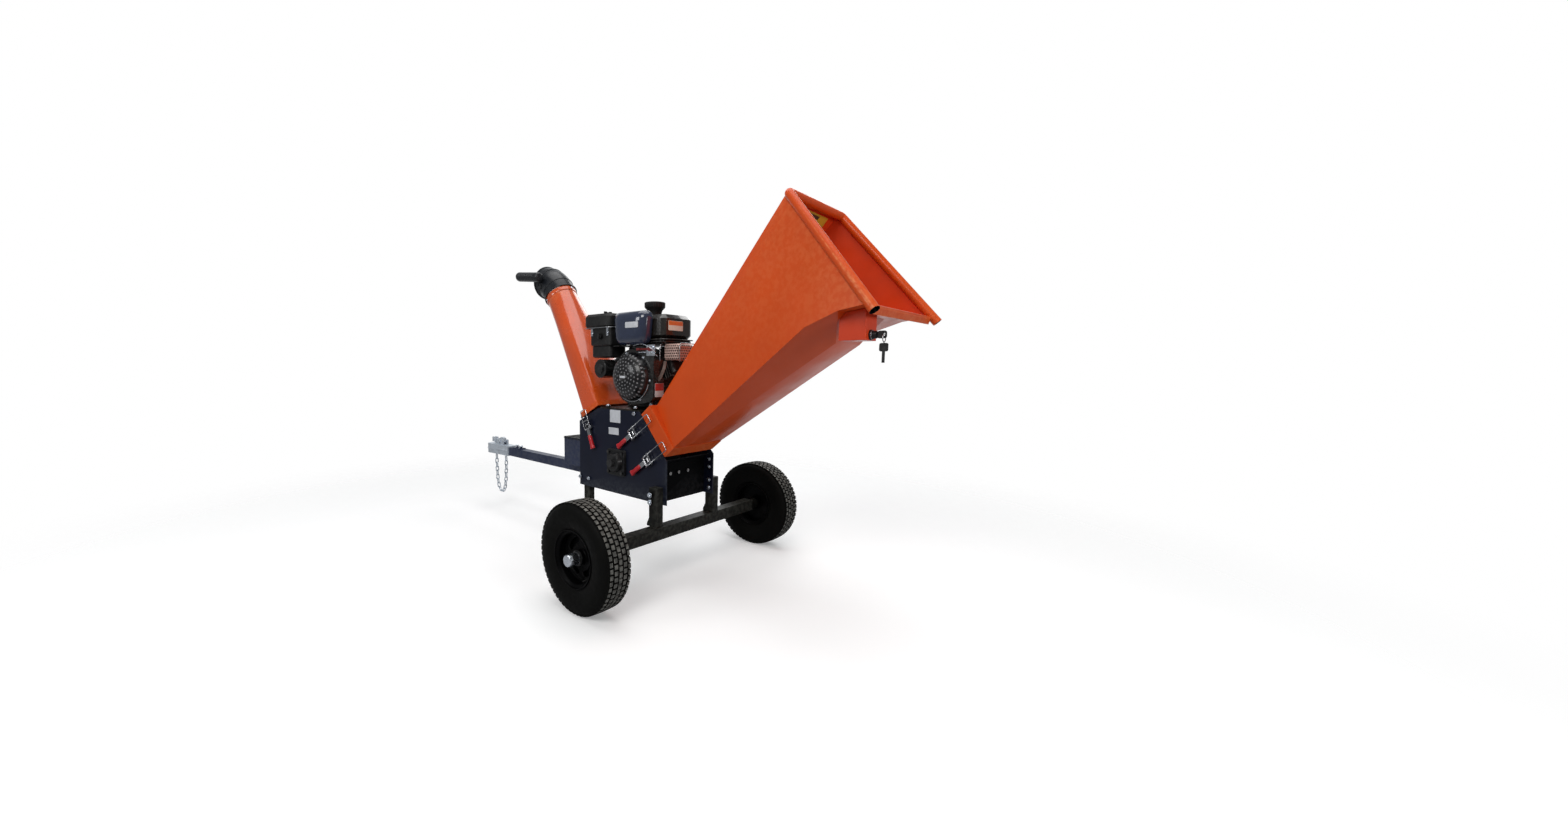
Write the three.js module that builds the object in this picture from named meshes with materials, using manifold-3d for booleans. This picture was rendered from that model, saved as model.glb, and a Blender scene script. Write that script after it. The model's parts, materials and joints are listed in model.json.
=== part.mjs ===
// Towable wood chipper with a tilted feed hopper, a knife drum, a petrol engine and a discharge chute.
// Millimetres, +Z up, +X from the tow coupler towards the hopper, +Y from the latch side to the belt side.
// Inside this file the axle lies above x = 0; the last lines move the model so that the origin is the
// centre of its footprint on the ground.
import * as THREE from 'three';
import { mergeVertices } from 'three/addons/utils/BufferGeometryUtils.js';
import Module from 'manifold-3d';

const wasm = await Module();
wasm.setup();

// ---------------------------------------------------------------- driving dimensions

const GAP = 0.4;                         // clearance kept between touching pieces
const RAD = Math.PI / 180;

const WHEEL = { radius: 206, halfWidth: 59, trackHalf: 551, rimRadius: 104, hubBore: 13.2 };
const AXLE = { half: 25, z: 208, halfLength: 478, stubRadius: 12.5 };
const PLATE = { outer: 153, inner: 148, bottom: 322, front: -547, rear: 32, deckZ: 700 };
const LEG = { nearX: -30, farX: -14, depth: 44, width: 38, top: 396 };
const STAND = { x0: -528, x1: -488, depth: 30, top: 402 };
const BAR = { half: 25, z: 363, x0: -1439, x1: -398, wall: 4 };
const ROTOR = { x: -270, z: 466, radius: 120, halfLength: 142, shaftRadius: 17.5 };
const CRANK = { x: -205, z: 846, radius: 12.7 };
const DRIVE = { y0: 190, y1: 220, crankPulley: 55, rotorPulley: 95, beltThickness: 9 };
const HOPPER = { x: -47.5, z: 606.6, tilt: 39.8, halfBase: 107.5, halfWidth: 154, collar: 65, length: 1014 };
const CHUTE = { x: -468, z: 680, tilt: 28, halfX: 67, halfY: 153, top: [-108.5, 716.5], topRadius: 78 };
const HOOD = { radius: 84, wall: 3, bend: 46, length: 135, steps: 4, gripY: 112 };
const KEY = { x: 853, y: -164, z: 986 };  // face of the key box and axis of its switch
const BASE_Z = 706;                      // underside of the engine

// ---------------------------------------------------------------- solids

function toSolid(geometry) {
  const bare = geometry.clone();
  bare.deleteAttribute('normal');
  bare.deleteAttribute('uv');
  const merged = mergeVertices(bare, 1e-3);
  const index = merged.index.array;
  const triangles = [];
  for (let i = 0; i < index.length; i += 3) {
    const [a, b, c] = [index[i], index[i + 1], index[i + 2]];
    if (a !== b && b !== c && c !== a) triangles.push(a, b, c);
  }
  const mesh = new wasm.Mesh({
    numProp: 3,
    vertProperties: new Float32Array(merged.attributes.position.array),
    triVerts: new Uint32Array(triangles),
  });
  mesh.merge();
  return new wasm.Manifold(mesh);
}

function toGeometry(solid) {
  const mesh = solid.getMesh();
  const geometry = new THREE.BufferGeometry();
  geometry.setAttribute('position', new THREE.BufferAttribute(new Float32Array(mesh.vertProperties), 3));
  geometry.setIndex(new THREE.BufferAttribute(new Uint32Array(mesh.triVerts), 1));
  geometry.computeVertexNormals();
  return geometry;
}

const join = (...parts) => parts.map((p) => (p.isBufferGeometry ? toSolid(p) : p)).reduce((a, b) => a.add(b));
const cut = (body, ...tools) => tools.reduce((a, b) => a.subtract(b.isBufferGeometry ? toSolid(b) : b), join(body));

// Box between two opposite corners.
function block(x0, x1, y0, y1, z0, z1) {
  const geometry = new THREE.BoxGeometry(x1 - x0, y1 - y0, z1 - z0);
  return geometry.translate((x0 + x1) / 2, (y0 + y1) / 2, (z0 + z1) / 2);
}

// Round bar between two points.
function rod(from, to, radius, sides = 16, endRadius = radius) {
  const a = new THREE.Vector3(...from);
  const b = new THREE.Vector3(...to);
  const geometry = new THREE.CylinderGeometry(endRadius, radius, a.distanceTo(b), sides);
  const turn = new THREE.Quaternion().setFromUnitVectors(new THREE.Vector3(0, 1, 0), b.clone().sub(a).normalize());
  geometry.applyQuaternion(turn);
  return geometry.translate((a.x + b.x) / 2, (a.y + b.y) / 2, (a.z + b.z) / 2);
}

// Hexagonal bolt head whose axis is +X, +Y or +Z and whose base is at the given point.
function boltHead(point, direction, size = 8, height = 7) {
  const tip = point.map((value, i) => value + direction[i] * height);
  const base = point.map((value, i) => value - direction[i] * 1.5);
  return toSolid(rod(base, tip, size, 6));
}

// Flat plate whose outline is given in X and Z and which fills the span from y0 to y1.
function sheetXZ(points, y0, y1) {
  const shape = new THREE.Shape(points.map(([x, z]) => new THREE.Vector2(x, z)));
  const geometry = new THREE.ExtrudeGeometry(shape, { depth: y1 - y0, bevelEnabled: false });
  const basis = new THREE.Matrix4().makeBasis(
    new THREE.Vector3(1, 0, 0), new THREE.Vector3(0, 0, 1), new THREE.Vector3(0, -1, 0));
  return geometry.applyMatrix4(basis.setPosition(0, y1, 0));
}

// Closed outline of a bent strip: the line itself and the same line moved sideways by its thickness.
function strip(points, thickness) {
  const moved = points.map(([x, z], i) => {
    const before = points[Math.max(i - 1, 0)];
    const after = points[Math.min(i + 1, points.length - 1)];
    const length = Math.hypot(after[0] - before[0], after[1] - before[1]);
    return [x - (after[1] - before[1]) / length * thickness, z + (after[0] - before[0]) / length * thickness];
  });
  return [...points, ...moved.reverse()];
}

// Closed skin over rings of points; every ring has the same number of points.
function loft(rings) {
  const count = rings[0].length;
  const position = rings.flat().flatMap((p) => [p.x, p.y, p.z]);
  const index = [];
  for (let r = 0; r + 1 < rings.length; r += 1) {
    for (let i = 0; i < count; i += 1) {
      const a = r * count + i;
      const b = r * count + (i + 1) % count;
      index.push(a, b, b + count, a, b + count, a + count);
    }
  }
  const last = (rings.length - 1) * count;
  for (let i = 1; i + 1 < count; i += 1) {
    index.push(0, i + 1, i, last, last + i, last + i + 1);
  }
  const geometry = new THREE.BufferGeometry();
  geometry.setAttribute('position', new THREE.Float32BufferAttribute(position, 3));
  geometry.setIndex(index);
  return volume(geometry) < 0 ? flipped(geometry) : geometry;
}

function volume(geometry) {
  const p = geometry.attributes.position;
  const index = geometry.index.array;
  const [a, b, c] = [new THREE.Vector3(), new THREE.Vector3(), new THREE.Vector3()];
  let total = 0;
  for (let i = 0; i < index.length; i += 3) {
    a.fromBufferAttribute(p, index[i]);
    b.fromBufferAttribute(p, index[i + 1]);
    c.fromBufferAttribute(p, index[i + 2]);
    total += a.dot(b.cross(c));
  }
  return total;
}

function flipped(geometry) {
  const index = geometry.index.array;
  for (let i = 0; i < index.length; i += 3) [index[i + 1], index[i + 2]] = [index[i + 2], index[i + 1]];
  return geometry;
}

// Turned piece about a line along Y; the profile holds [radius, y] pairs.
function turned(profile, x, z, segments = 36) {
  const points = profile.map(([r, y]) => new THREE.Vector2(r, y));
  const geometry = new THREE.LatheGeometry(points, segments);
  geometry.translate(x, 0, z);
  return geometry.index && volume(mergeBare(geometry)) < 0 ? flipped(geometry) : geometry;
}

function mergeBare(geometry) {
  const bare = geometry.clone();
  bare.deleteAttribute('normal');
  bare.deleteAttribute('uv');
  return mergeVertices(bare, 1e-3);
}

const ring = (points) => points.map((p) => new THREE.Vector3(...p));

// Rounded rectangle in two coordinates, as a list of points.
function roundedBox(halfA, halfB, radius, steps = 4) {
  const points = [];
  [[1, 1, 0], [-1, 1, 90], [-1, -1, 180], [1, -1, 270]].forEach(([sa, sb, start]) => {
    for (let i = 0; i <= steps; i += 1) {
      const angle = (start + 90 * i / steps) * RAD;
      points.push([
        sa * (halfA - radius) + radius * Math.cos(angle),
        sb * (halfB - radius) + radius * Math.sin(angle),
      ]);
    }
  });
  return points;
}

// Box with rounded upright edges and softened top and bottom.
function softBox(x0, x1, y0, y1, z0, z1, radius, soft) {
  const [cx, cy] = [(x0 + x1) / 2, (y0 + y1) / 2];
  const [hx, hy] = [(x1 - x0) / 2, (y1 - y0) / 2];
  const level = (z, inset) => roundedBox(hx - inset, hy - inset, Math.max(radius - inset, 1), 3)
    .map(([a, b]) => new THREE.Vector3(cx + a, cy + b, z));
  return loft([level(z0, soft), level(z0 + soft, 0), level(z1 - soft, 0), level(z1, soft)]);
}

// ---------------------------------------------------------------- materials and the scene graph

const finish = (color, roughness, metalness) => ({ color, roughness, metalness });
const BLACK_PAINT = finish(0x1d2129, 0.45, 0.3);
const FRAME_PAINT = finish(0x272d3c, 0.42, 0.3);
const ORANGE_PAINT = finish(0xd9481c, 0.35, 0.15);
const ZINC = finish(0xb9bec4, 0.35, 0.9);
const STEEL = finish(0x8a8d90, 0.4, 0.9);
const RUBBER = finish(0x1b1b1c, 0.9, 0);
const ENGINE_BLACK = finish(0x161719, 0.35, 0.2);
const ALUMINIUM = finish(0x9b9da0, 0.45, 0.85);
const RED_GRIP = finish(0xb3202c, 0.5, 0);
const PLASTIC = finish(0x151617, 0.5, 0);

const machine = new THREE.Group();
const hopperFrame = new THREE.Group();
hopperFrame.position.set(HOPPER.x, 0, HOPPER.z);
hopperFrame.rotation.y = -HOPPER.tilt * RAD;
const chuteFrame = new THREE.Group();
chuteFrame.position.set(CHUTE.x, 0, CHUTE.z);
chuteFrame.rotation.y = -CHUTE.tilt * RAD;
machine.add(hopperFrame, chuteFrame);

function place(name, shape, paint, parent = machine) {
  const geometry = shape.isBufferGeometry ? shape : toGeometry(shape);
  const mesh = new THREE.Mesh(geometry, new THREE.MeshStandardMaterial(paint));
  mesh.name = name;
  parent.add(mesh);
  return mesh;
}

const mirrorY = (points) => points.map(([x, y, z]) => [x, -y, z]);

// ---------------------------------------------------------------- wheels and axle

function addWheel(name, side) {
  const y = side * WHEEL.trackHalf;
  const { radius, halfWidth, rimRadius } = WHEEL;
  const tread = halfWidth - 13;
  const tyre = [
    [rimRadius + 2, halfWidth - 12], [rimRadius + 14, halfWidth - 4], [radius - 50, halfWidth],
    [radius - 20, halfWidth - 3], [radius - 5, tread], [radius, tread - 14], [radius, 14 - tread],
    [radius - 5, -tread], [radius - 20, 3 - halfWidth], [radius - 50, -halfWidth],
    [rimRadius + 14, 4 - halfWidth], [rimRadius + 2, 12 - halfWidth], [rimRadius + 2, 23 - halfWidth],
    [radius - 14, 16 - halfWidth], [radius - 14, halfWidth - 16], [rimRadius + 2, halfWidth - 23],
  ];
  const closed = (profile) => [...profile, profile[0]].map(([r, v]) => [r, y + side * v]);
  place(`tyre_${name}`, turned(closed(tyre), 0, WHEEL.radius, 32), RUBBER);

  const lip = halfWidth - 13;
  const rim = [
    [WHEEL.hubBore, 26], [26, 26], [26, 6], [62, 2], [74, 12], [rimRadius - 10, 12], [rimRadius - 10, lip - 6],
    [rimRadius + 1.1, lip], [rimRadius + 1.1, -lip], [rimRadius - 10, 6 - lip], [rimRadius - 10, 6],
    [76, 6], [64, -4], [26, -2], [26, -24], [WHEEL.hubBore, -24],
  ];
  place(`rim_${name}`, turned(closed(rim), 0, WHEEL.radius, 28), BLACK_PAINT);

  const nutBase = y + side * (26 + GAP);
  const nut = join(
    rod([0, nutBase, WHEEL.radius], [0, nutBase + side * 4, WHEEL.radius], 28, 20),
    rod([0, nutBase, WHEEL.radius], [0, nutBase + side * 44, WHEEL.radius], 23, 20),
    rod([0, nutBase + side * 44, WHEEL.radius], [0, nutBase + side * 50, WHEEL.radius], 23, 20, 16),
  );
  const socket = rod([0, nutBase - side, WHEEL.radius], [0, nutBase + side * 34, WHEEL.radius], WHEEL.hubBore, 20);
  place(`hub_nut_${name}`, cut(nut, socket), ZINC);
}
addWheel('near', -1);
addWheel('far', 1);

function addAxle() {
  const { half, z, halfLength, stubRadius } = AXLE;
  const stub = (side) => rod([0, side * (halfLength - 5), WHEEL.radius],
    [0, side * (WHEEL.trackHalf + 55), WHEEL.radius], stubRadius, 20);
  const stop = (side) => rod([0, side * (halfLength - 1), WHEEL.radius],
    [0, side * (WHEEL.trackHalf - 24 - GAP), WHEEL.radius], 24, 20);
  const beam = block(-half, half, -halfLength, halfLength, z - half, z + half);
  place('axle_beam', join(beam, stub(-1), stub(1), stop(-1), stop(1)), BLACK_PAINT);
}
addAxle();

// ---------------------------------------------------------------- chassis

function frameOutline() {
  return [
    [PLATE.front, PLATE.bottom], [PLATE.rear, PLATE.bottom], [PLATE.rear, 506], [17, 521],
    [-121, 686], [-127, PLATE.deckZ - GAP], [-398, PLATE.deckZ - GAP], [-403, 701],
    [-525, 642], [PLATE.front, 631],
  ];
}

// Pressed bracket that carries a latch lever; u and v are unit vectors along and across the latch.
const LATCHES = [
  { name: 'hopper_latch_upper', x: -80, z: 662, angle: 36, pivot: 92 },
  { name: 'hopper_latch_lower', x: 10, z: 556, angle: 36, pivot: 92 },
  { name: 'chute_latch', x: -485, z: 655, angle: 112, pivot: 38 },
];
const LATCH = { standoff: 13, halfGap: 12, reach: 20, handle: 118 };

function latchFrame({ x, z, angle }) {
  const group = new THREE.Group();
  group.position.set(x, -PLATE.outer, z);
  group.rotation.y = -angle * RAD;
  return group;
}

// Points along the latch run back from the catch (0) to the grip; outwards is -Y.
function latchBracket(latch) {
  const { standoff, halfGap } = LATCH;
  const { pivot } = latch;
  const ear = (side) => block(-pivot - 9, -pivot + 9, -standoff - 6, 1, side * (halfGap + 3) - 2, side * (halfGap + 3) + 2);
  const foot = block(-pivot - 22, -pivot + 22, -3, 1, -halfGap - 7, halfGap + 7);
  const bracket = toGeometry(join(foot, ear(-1), ear(1)));
  const frame = latchFrame(latch);
  frame.updateMatrixWorld(true);
  return bracket.applyMatrix4(frame.matrixWorld);
}

function addSidePlates() {
  const { outer, inner } = PLATE;
  const shaftHole = rod([ROTOR.x, -200, ROTOR.z], [ROTOR.x, 200, ROTOR.z], 24, 20);
  const out = [0, -1, 0];
  const nearBolts = [[-538, 362], [-472, 362], [-158, 690]];
  const near = join(
    sheetXZ(frameOutline(), -outer, -inner),
    ...nearBolts.map(([x, z]) => boltHead([x, -outer, z], out, 6, 6)),
    ...LATCHES.map(latchBracket),
  );
  place('frame_plate_near', cut(near, shaftHole), FRAME_PAINT);
  const farBolts = [[-538, 362], [-472, 362], [-376, 690], [-262, 690], [-140, 668], [14, 480], [14, 430]];
  const far = join(
    sheetXZ(frameOutline(), inner, outer),
    ...farBolts.map(([x, z]) => boltHead([x, outer, z], [0, 1, 0], 7, 6)),
    ...[[14, 480], [14, 445], [14, 385], [14, 350]].map(([x, z]) => boltHead([x, inner, z], out, 7, 6)),
  );
  place('frame_plate_far', cut(far, shaftHole), FRAME_PAINT);
}
addSidePlates();

function addCasing() {
  const inner = PLATE.inner - GAP;
  const scroll = [[10, 507], [-134, 418]];
  for (let angle = -25; angle >= -180; angle -= 15.5) {
    scroll.push([ROTOR.x + 134 * Math.cos(angle * RAD), ROTOR.z + 134 * Math.sin(angle * RAD)]);
  }
  scroll.push([-440, 540], [-512, 630]);
  const shell = sheetXZ(strip(scroll, 4).reverse(), -inner, inner);
  const bolts = [-80, -28, 31].map((y) => boltHead([-20, y, 440], [1, 0, 0], 8, 7));
  const apron = block(-26, -20, -inner, inner, PLATE.bottom + 1, 487);
  place('drum_casing', join(shell, apron, ...bolts), BLACK_PAINT);

  const opening = block(-560, -530, -BAR.half - 0.6, BAR.half + 0.6, BAR.z - BAR.half - 0.6, BAR.z + BAR.half + 0.6);
  const panel = block(-545, -540, -inner, inner, PLATE.bottom + 2, 622);
  place('front_panel', cut(panel, opening), FRAME_PAINT);

  const deckBolts = [-352, -168].flatMap((x) => [-138, 138].map((y) => boltHead([x, y, BASE_Z - GAP], [0, 0, 1], 8, 7)));
  const deck = join(block(-394, -132, -inner - 4, inner + 4, PLATE.deckZ, BASE_Z - GAP), ...deckBolts);
  place('engine_deck', deck, BLACK_PAINT);
}
addCasing();

function addLegs() {
  const { nearX, farX, depth, width, top } = LEG;
  [['near', -1, nearX], ['far', 1, farX]].forEach(([name, side, x0]) => {
    const x1 = x0 + depth;
    const inner = side * (PLATE.outer + GAP);
    const outer = inner + side * width;
    const low = AXLE.z + AXLE.half + GAP;
    const post = block(x0, x1, Math.min(inner, outer), Math.max(inner, outer), low, top);
    const fin = sheetXZ([[x0, low], [x0 - 13, low], [x0 - 13, low + 10], [x0, low + 36], [x0 + 1, low]].reverse(),
      Math.min(inner, outer), Math.max(inner, outer));
    const bolts = [336, 366].map((z) => boltHead([x0 + 11, outer, z], [0, side, 0], 8, 7));
    place(`leg_${name}`, join(post, fin, ...bolts), BLACK_PAINT);
  });

  const y0 = GAP - PLATE.inner;
  const y1 = y0 + 5 + STAND.depth;
  const stand = join(
    block(STAND.x0, STAND.x1, y0 + 5, y1, 3, STAND.top),
    block(STAND.x0 - 10, STAND.x1 + 24, y0, y0 + 5.5, 330, STAND.top),
    block(STAND.x0 - 22, STAND.x1 + 22, y0 - 17, y1 + 17, 0, 6),
  );
  place('support_leg', stand, BLACK_PAINT);
}
addLegs();

// ---------------------------------------------------------------- tow bar, coupler and chain

function addTowBar() {
  const { half, z, x0, x1, wall } = BAR;
  const outer = block(x0, x1, -half, half, z - half, z + half);
  const inner = block(x0 - 5, x1 + 5, wall - half, half - wall, z - half + wall, z + half - wall);
  const top = z + half;
  const clamp = join(block(-1404, -1318, -20, 20, top - 1, top + 5),
    ...[-1384, -1340].map((x) => boltHead([x, 0, top + 5], [0, 0, 1], 9, 8)));
  place('tow_bar', cut(join(outer, clamp), inner), BLACK_PAINT);

  const bar = half - wall - GAP;
  const shank = block(-1510, -1335, -bar, bar, z - bar, z + bar);
  const nose = (r) => {
    const points = [[-1445, -30], [-1445, 30], [-1600, 38]];
    for (let a = 100; a <= 260; a += 20) points.push([-1655 + r * Math.cos(a * RAD), r * Math.sin(a * RAD)]);
    points.push([-1600, -38]);
    return points;
  };
  const shape = new THREE.Shape(nose(44).map(([x, y]) => new THREE.Vector2(x, y)).reverse());
  const head = new THREE.ExtrudeGeometry(shape, { depth: 60, bevelEnabled: false }).translate(0, 0, 334);
  const ears = [-1, 1].map((side) => block(-1590, -1520, side * 16 - 4, side * 16 + 4, 390, 424));
  const socket = new THREE.SphereGeometry(27, 16, 8).translate(-1655, 0, 352);
  const mouth = rod([-1655, 0, 320], [-1655, 0, 352], 27, 16);
  const hook = (x) => rod([x, 0, 326], [x, 0, 336], 11, 12);
  place('coupler_body', cut(join(head, shank, ...ears, hook(-1520), hook(-1612)), join(socket, mouth)), ZINC);

  const arm = sheetXZ([[-1642, 397], [-1600, 397], [-1545, 400], [-1530, 412], [-1532, 436], [-1560, 440],
    [-1600, 424], [-1640, 414]].reverse(), -11, 11);
  const grip = block(-1664, -1636, -15, 15, 404, 434);
  place('coupler_latch', join(arm, grip), ZINC);
}
addTowBar();

function addChain() {
  const width = [58, 58, 57, 55, 52, 45, 30];
  const left = width.map((w, i) => [-1580 - w, 0, 321 - i * 36]);
  const right = [...width].reverse().map((w, i) => [-1580 + w + (i > 3 ? 2 : 0), 0, 105 + i * 36]);
  const path = new THREE.CatmullRomCurve3(ring([...left, [-1580, 0, 88], ...right]));
  const section = new THREE.Shape();
  section.absarc(0, 0, 7, 0, 2 * Math.PI);
  const chain = new THREE.ExtrudeGeometry(section, { steps: 28, curveSegments: 3, extrudePath: path, bevelEnabled: false });
  place('safety_chain', chain, ZINC);
}
addChain();

function addBattery() {
  const z0 = BAR.z + BAR.half + GAP;
  const outer = block(-752, -549, -98, 98, z0, 528);
  place('battery_box', cut(outer, block(-749, -552, -95, 95, z0 + 3, 540)), FRAME_PAINT);
  const lid = join(block(-754, -548, -100, 100, 528 + GAP, 532), block(-748, -553, -94, 94, 522, 530));
  place('battery_box_lid', lid, BLACK_PAINT);
}
addBattery();

// ---------------------------------------------------------------- knife drum and its drive

function addBearing(name, side) {
  const y0 = side * (PLATE.outer + GAP);
  const plate = roundedBox(58, 58, 12, 3).map(([a, b]) => [ROTOR.x + a, ROTOR.z + b]);
  const flange = sheetXZ(plate, Math.min(y0, y0 + side * 13), Math.max(y0, y0 + side * 13));
  const boss = rod([ROTOR.x, y0 + side * 12, ROTOR.z], [ROTOR.x, y0 + side * 32, ROTOR.z], 46, 20, 38);
  const spots = [[-1, -1], [1, -1], [-1, 1], [1, 1]];
  const bolts = spots.map(([a, b]) => boltHead([ROTOR.x + a * 44, y0 + side * 13, ROTOR.z + b * 44],
    [0, side, 0], 8, 8));
  const bore = rod([ROTOR.x, y0 - side * 9, ROTOR.z], [ROTOR.x, y0 + side * 60, ROTOR.z], ROTOR.shaftRadius + 0.5, 20);
  place(name, cut(join(flange, boss, ...bolts), bore), BLACK_PAINT);
}
addBearing('bearing_near', -1);
addBearing('bearing_far', 1);

function addRotor() {
  const { x, z, radius, halfLength, shaftRadius } = ROTOR;
  place('rotor_shaft', rod([x, -204, z], [x, 232, z], shaftRadius, 20), STEEL);
  const bore = shaftRadius + 0.6;
  const drum = [
    [bore, 40], [30, 40], [30, 8], [radius - 14, 8], [radius - 14, halfLength], [radius - 6, halfLength],
    [radius - 6, -halfLength], [radius - 14, -halfLength], [radius - 14, -8], [30, -8], [30, -40],
    [bore, -40], [bore, 40],
  ];
  const knifeSlot = (angle) => {
    const slot = block(-60, 60, -halfLength + 12, halfLength - 12, radius - 13, radius + 5);
    return slot.rotateY(angle).translate(x, 0, z);
  };
  place('rotor_drum', cut(turned(drum, x, z, 28), knifeSlot(0), knifeSlot(Math.PI)), BLACK_PAINT);
  [['knife_a', 0], ['knife_b', Math.PI]].forEach(([name, angle]) => {
    const blade = sheetXZ([[-46, 0], [50, 0], [50, 4], [40, 11], [-46, 11]].map(([a, b]) => [a, radius - 13 + GAP + b]),
      -halfLength + 14, halfLength - 14);
    place(name, blade.rotateY(angle).translate(x, 0, z), STEEL);
  });

  const pulley = (r, bored, hub) => [
    [bored, DRIVE.y0 - 2], [r + 6, DRIVE.y0 - 2], [r, DRIVE.y0 + 2], [r, DRIVE.y1 - 2], [r + 6, DRIVE.y1 + 2],
    [r - 8, DRIVE.y1 + 2], [r - 10, DRIVE.y1 - 12], [hub, DRIVE.y1 - 12], [hub, DRIVE.y1 + 6],
    [bored, DRIVE.y1 + 6], [bored, DRIVE.y0 - 2],
  ];
  place('rotor_pulley', turned(pulley(DRIVE.rotorPulley, shaftRadius + 0.6, 30), x, z, 28), BLACK_PAINT);
  const wheel = turned(pulley(DRIVE.crankPulley, CRANK.radius - 1, 24), CRANK.x, CRANK.z, 24);
  const stub = rod([CRANK.x, 90, CRANK.z], [CRANK.x, 230, CRANK.z], CRANK.radius, 18);
  place('crank_pulley', join(wheel, stub), BLACK_PAINT);
}
addRotor();

// Outline of a belt, or of its guard, that wraps the two pulleys at the given distance.
function wrapOutline(lowRadius, highRadius, steps = 11) {
  const dx = CRANK.x - ROTOR.x;
  const dz = CRANK.z - ROTOR.z;
  const distance = Math.hypot(dx, dz);
  const heading = Math.atan2(dz, dx);
  const lean = Math.acos((lowRadius - highRadius) / distance);
  const points = [];
  for (let i = 0; i <= steps; i += 1) {
    const angle = heading + lean + (2 * Math.PI - 2 * lean) * i / steps;
    points.push([ROTOR.x + lowRadius * Math.cos(angle), ROTOR.z + lowRadius * Math.sin(angle)]);
  }
  for (let i = 0; i <= steps; i += 1) {
    const angle = heading - lean + 2 * lean * i / steps;
    points.push([CRANK.x + highRadius * Math.cos(angle), CRANK.z + highRadius * Math.sin(angle)]);
  }
  return points;
}

function addBelt() {
  const inner = 1.5;
  const outer = inner + DRIVE.beltThickness - 4;
  const hole = sheetXZ(wrapOutline(DRIVE.rotorPulley + inner, DRIVE.crankPulley + inner), 180, 230);
  const band = sheetXZ(wrapOutline(DRIVE.rotorPulley + outer, DRIVE.crankPulley + outer),
    DRIVE.y0 + 4, DRIVE.y1 - 4);
  place('drive_belt', cut(band, hole), RUBBER);

  const skin = 2.5;
  const cover = sheetXZ(wrapOutline(122, 84), PLATE.outer + 6, 242);
  const hollow = sheetXZ(wrapOutline(122 - skin, 84 - skin), PLATE.outer, 242 - skin);
  const tabs = [[-388, 380, 428], [-388, 500, 548]].map(([x, z0, z1]) =>
    block(x - 20, x + 4, PLATE.outer + GAP + 7, PLATE.outer + GAP + 10, z0, z1));
  place('belt_guard', join(cut(cover, hollow), ...tabs), BLACK_PAINT);
}
addBelt();

// ---------------------------------------------------------------- hopper, in its own tilted frame

// Local X runs out of the base flange along the hopper, local Z up the flange.
const MOUTH = { top: 248, topHalf: 172, tubeX: 1013, tubeTop: 236, tubeTopHalf: 182, tubeFoot: -271, tubeFootHalf: 262 };

// Stations along the hopper: distance out, side edge (half width, height) and keel (half width, height).
const TROUGH = [
  { x: 65, edge: [153, -105.5], keel: [70, -106.5] },
  { x: 814, edge: [227, -151], keel: [88, -207] },
  { x: 930, edge: [246, -194], keel: [80, -197] },
  { x: 1010, edge: [260, -245], keel: [120, -248] },
];

function hopperSection(station, grow) {
  const { x, edge, keel } = station;
  const t = (x - HOPPER.collar) / (TROUGH[3].x - HOPPER.collar);
  const mix = (a, b) => a + (b - a) * t;
  const top = mix(HOPPER.halfBase - 2, MOUTH.top);
  const topHalf = mix(112, MOUTH.topHalf);
  const foldHalf = topHalf + mix(6, 18);
  const foldZ = top - mix(8, 50);
  const half = [
    [-keel[0], keel[1] - grow], [-edge[0] - grow, edge[1] - grow * 0.5],
    [-foldHalf - grow, foldZ + grow * 0.3], [-topHalf - grow * 0.5, top + grow],
  ];
  const other = half.map(([y, z]) => [-y, z]).reverse();
  return [...half, ...other].map(([y, z]) => new THREE.Vector3(x, y, z));
}

// The flared body, moved outwards by grow and running from x0 to x1.
function hopperLoft(grow, x0, x1) {
  const blend = (a, b, k) => a.map((value, i) => value + (b[i] - value) * k);
  const at = (x) => {
    const last = Math.max(1, TROUGH.findIndex((s) => s.x >= x));
    const [a, b] = x > 1010 ? [TROUGH[2], TROUGH[3]] : [TROUGH[last - 1], TROUGH[last]];
    const k = (x - a.x) / (b.x - a.x);
    return { x, edge: blend(a.edge, b.edge, k), keel: blend(a.keel, b.keel, k) };
  };
  const inner = TROUGH.slice(1, 3).filter((s) => s.x > x0 + 1 && s.x < x1 - 1);
  return loft([at(x0), ...inner, at(x1)].map((station) => hopperSection(station, grow)));
}

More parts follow.
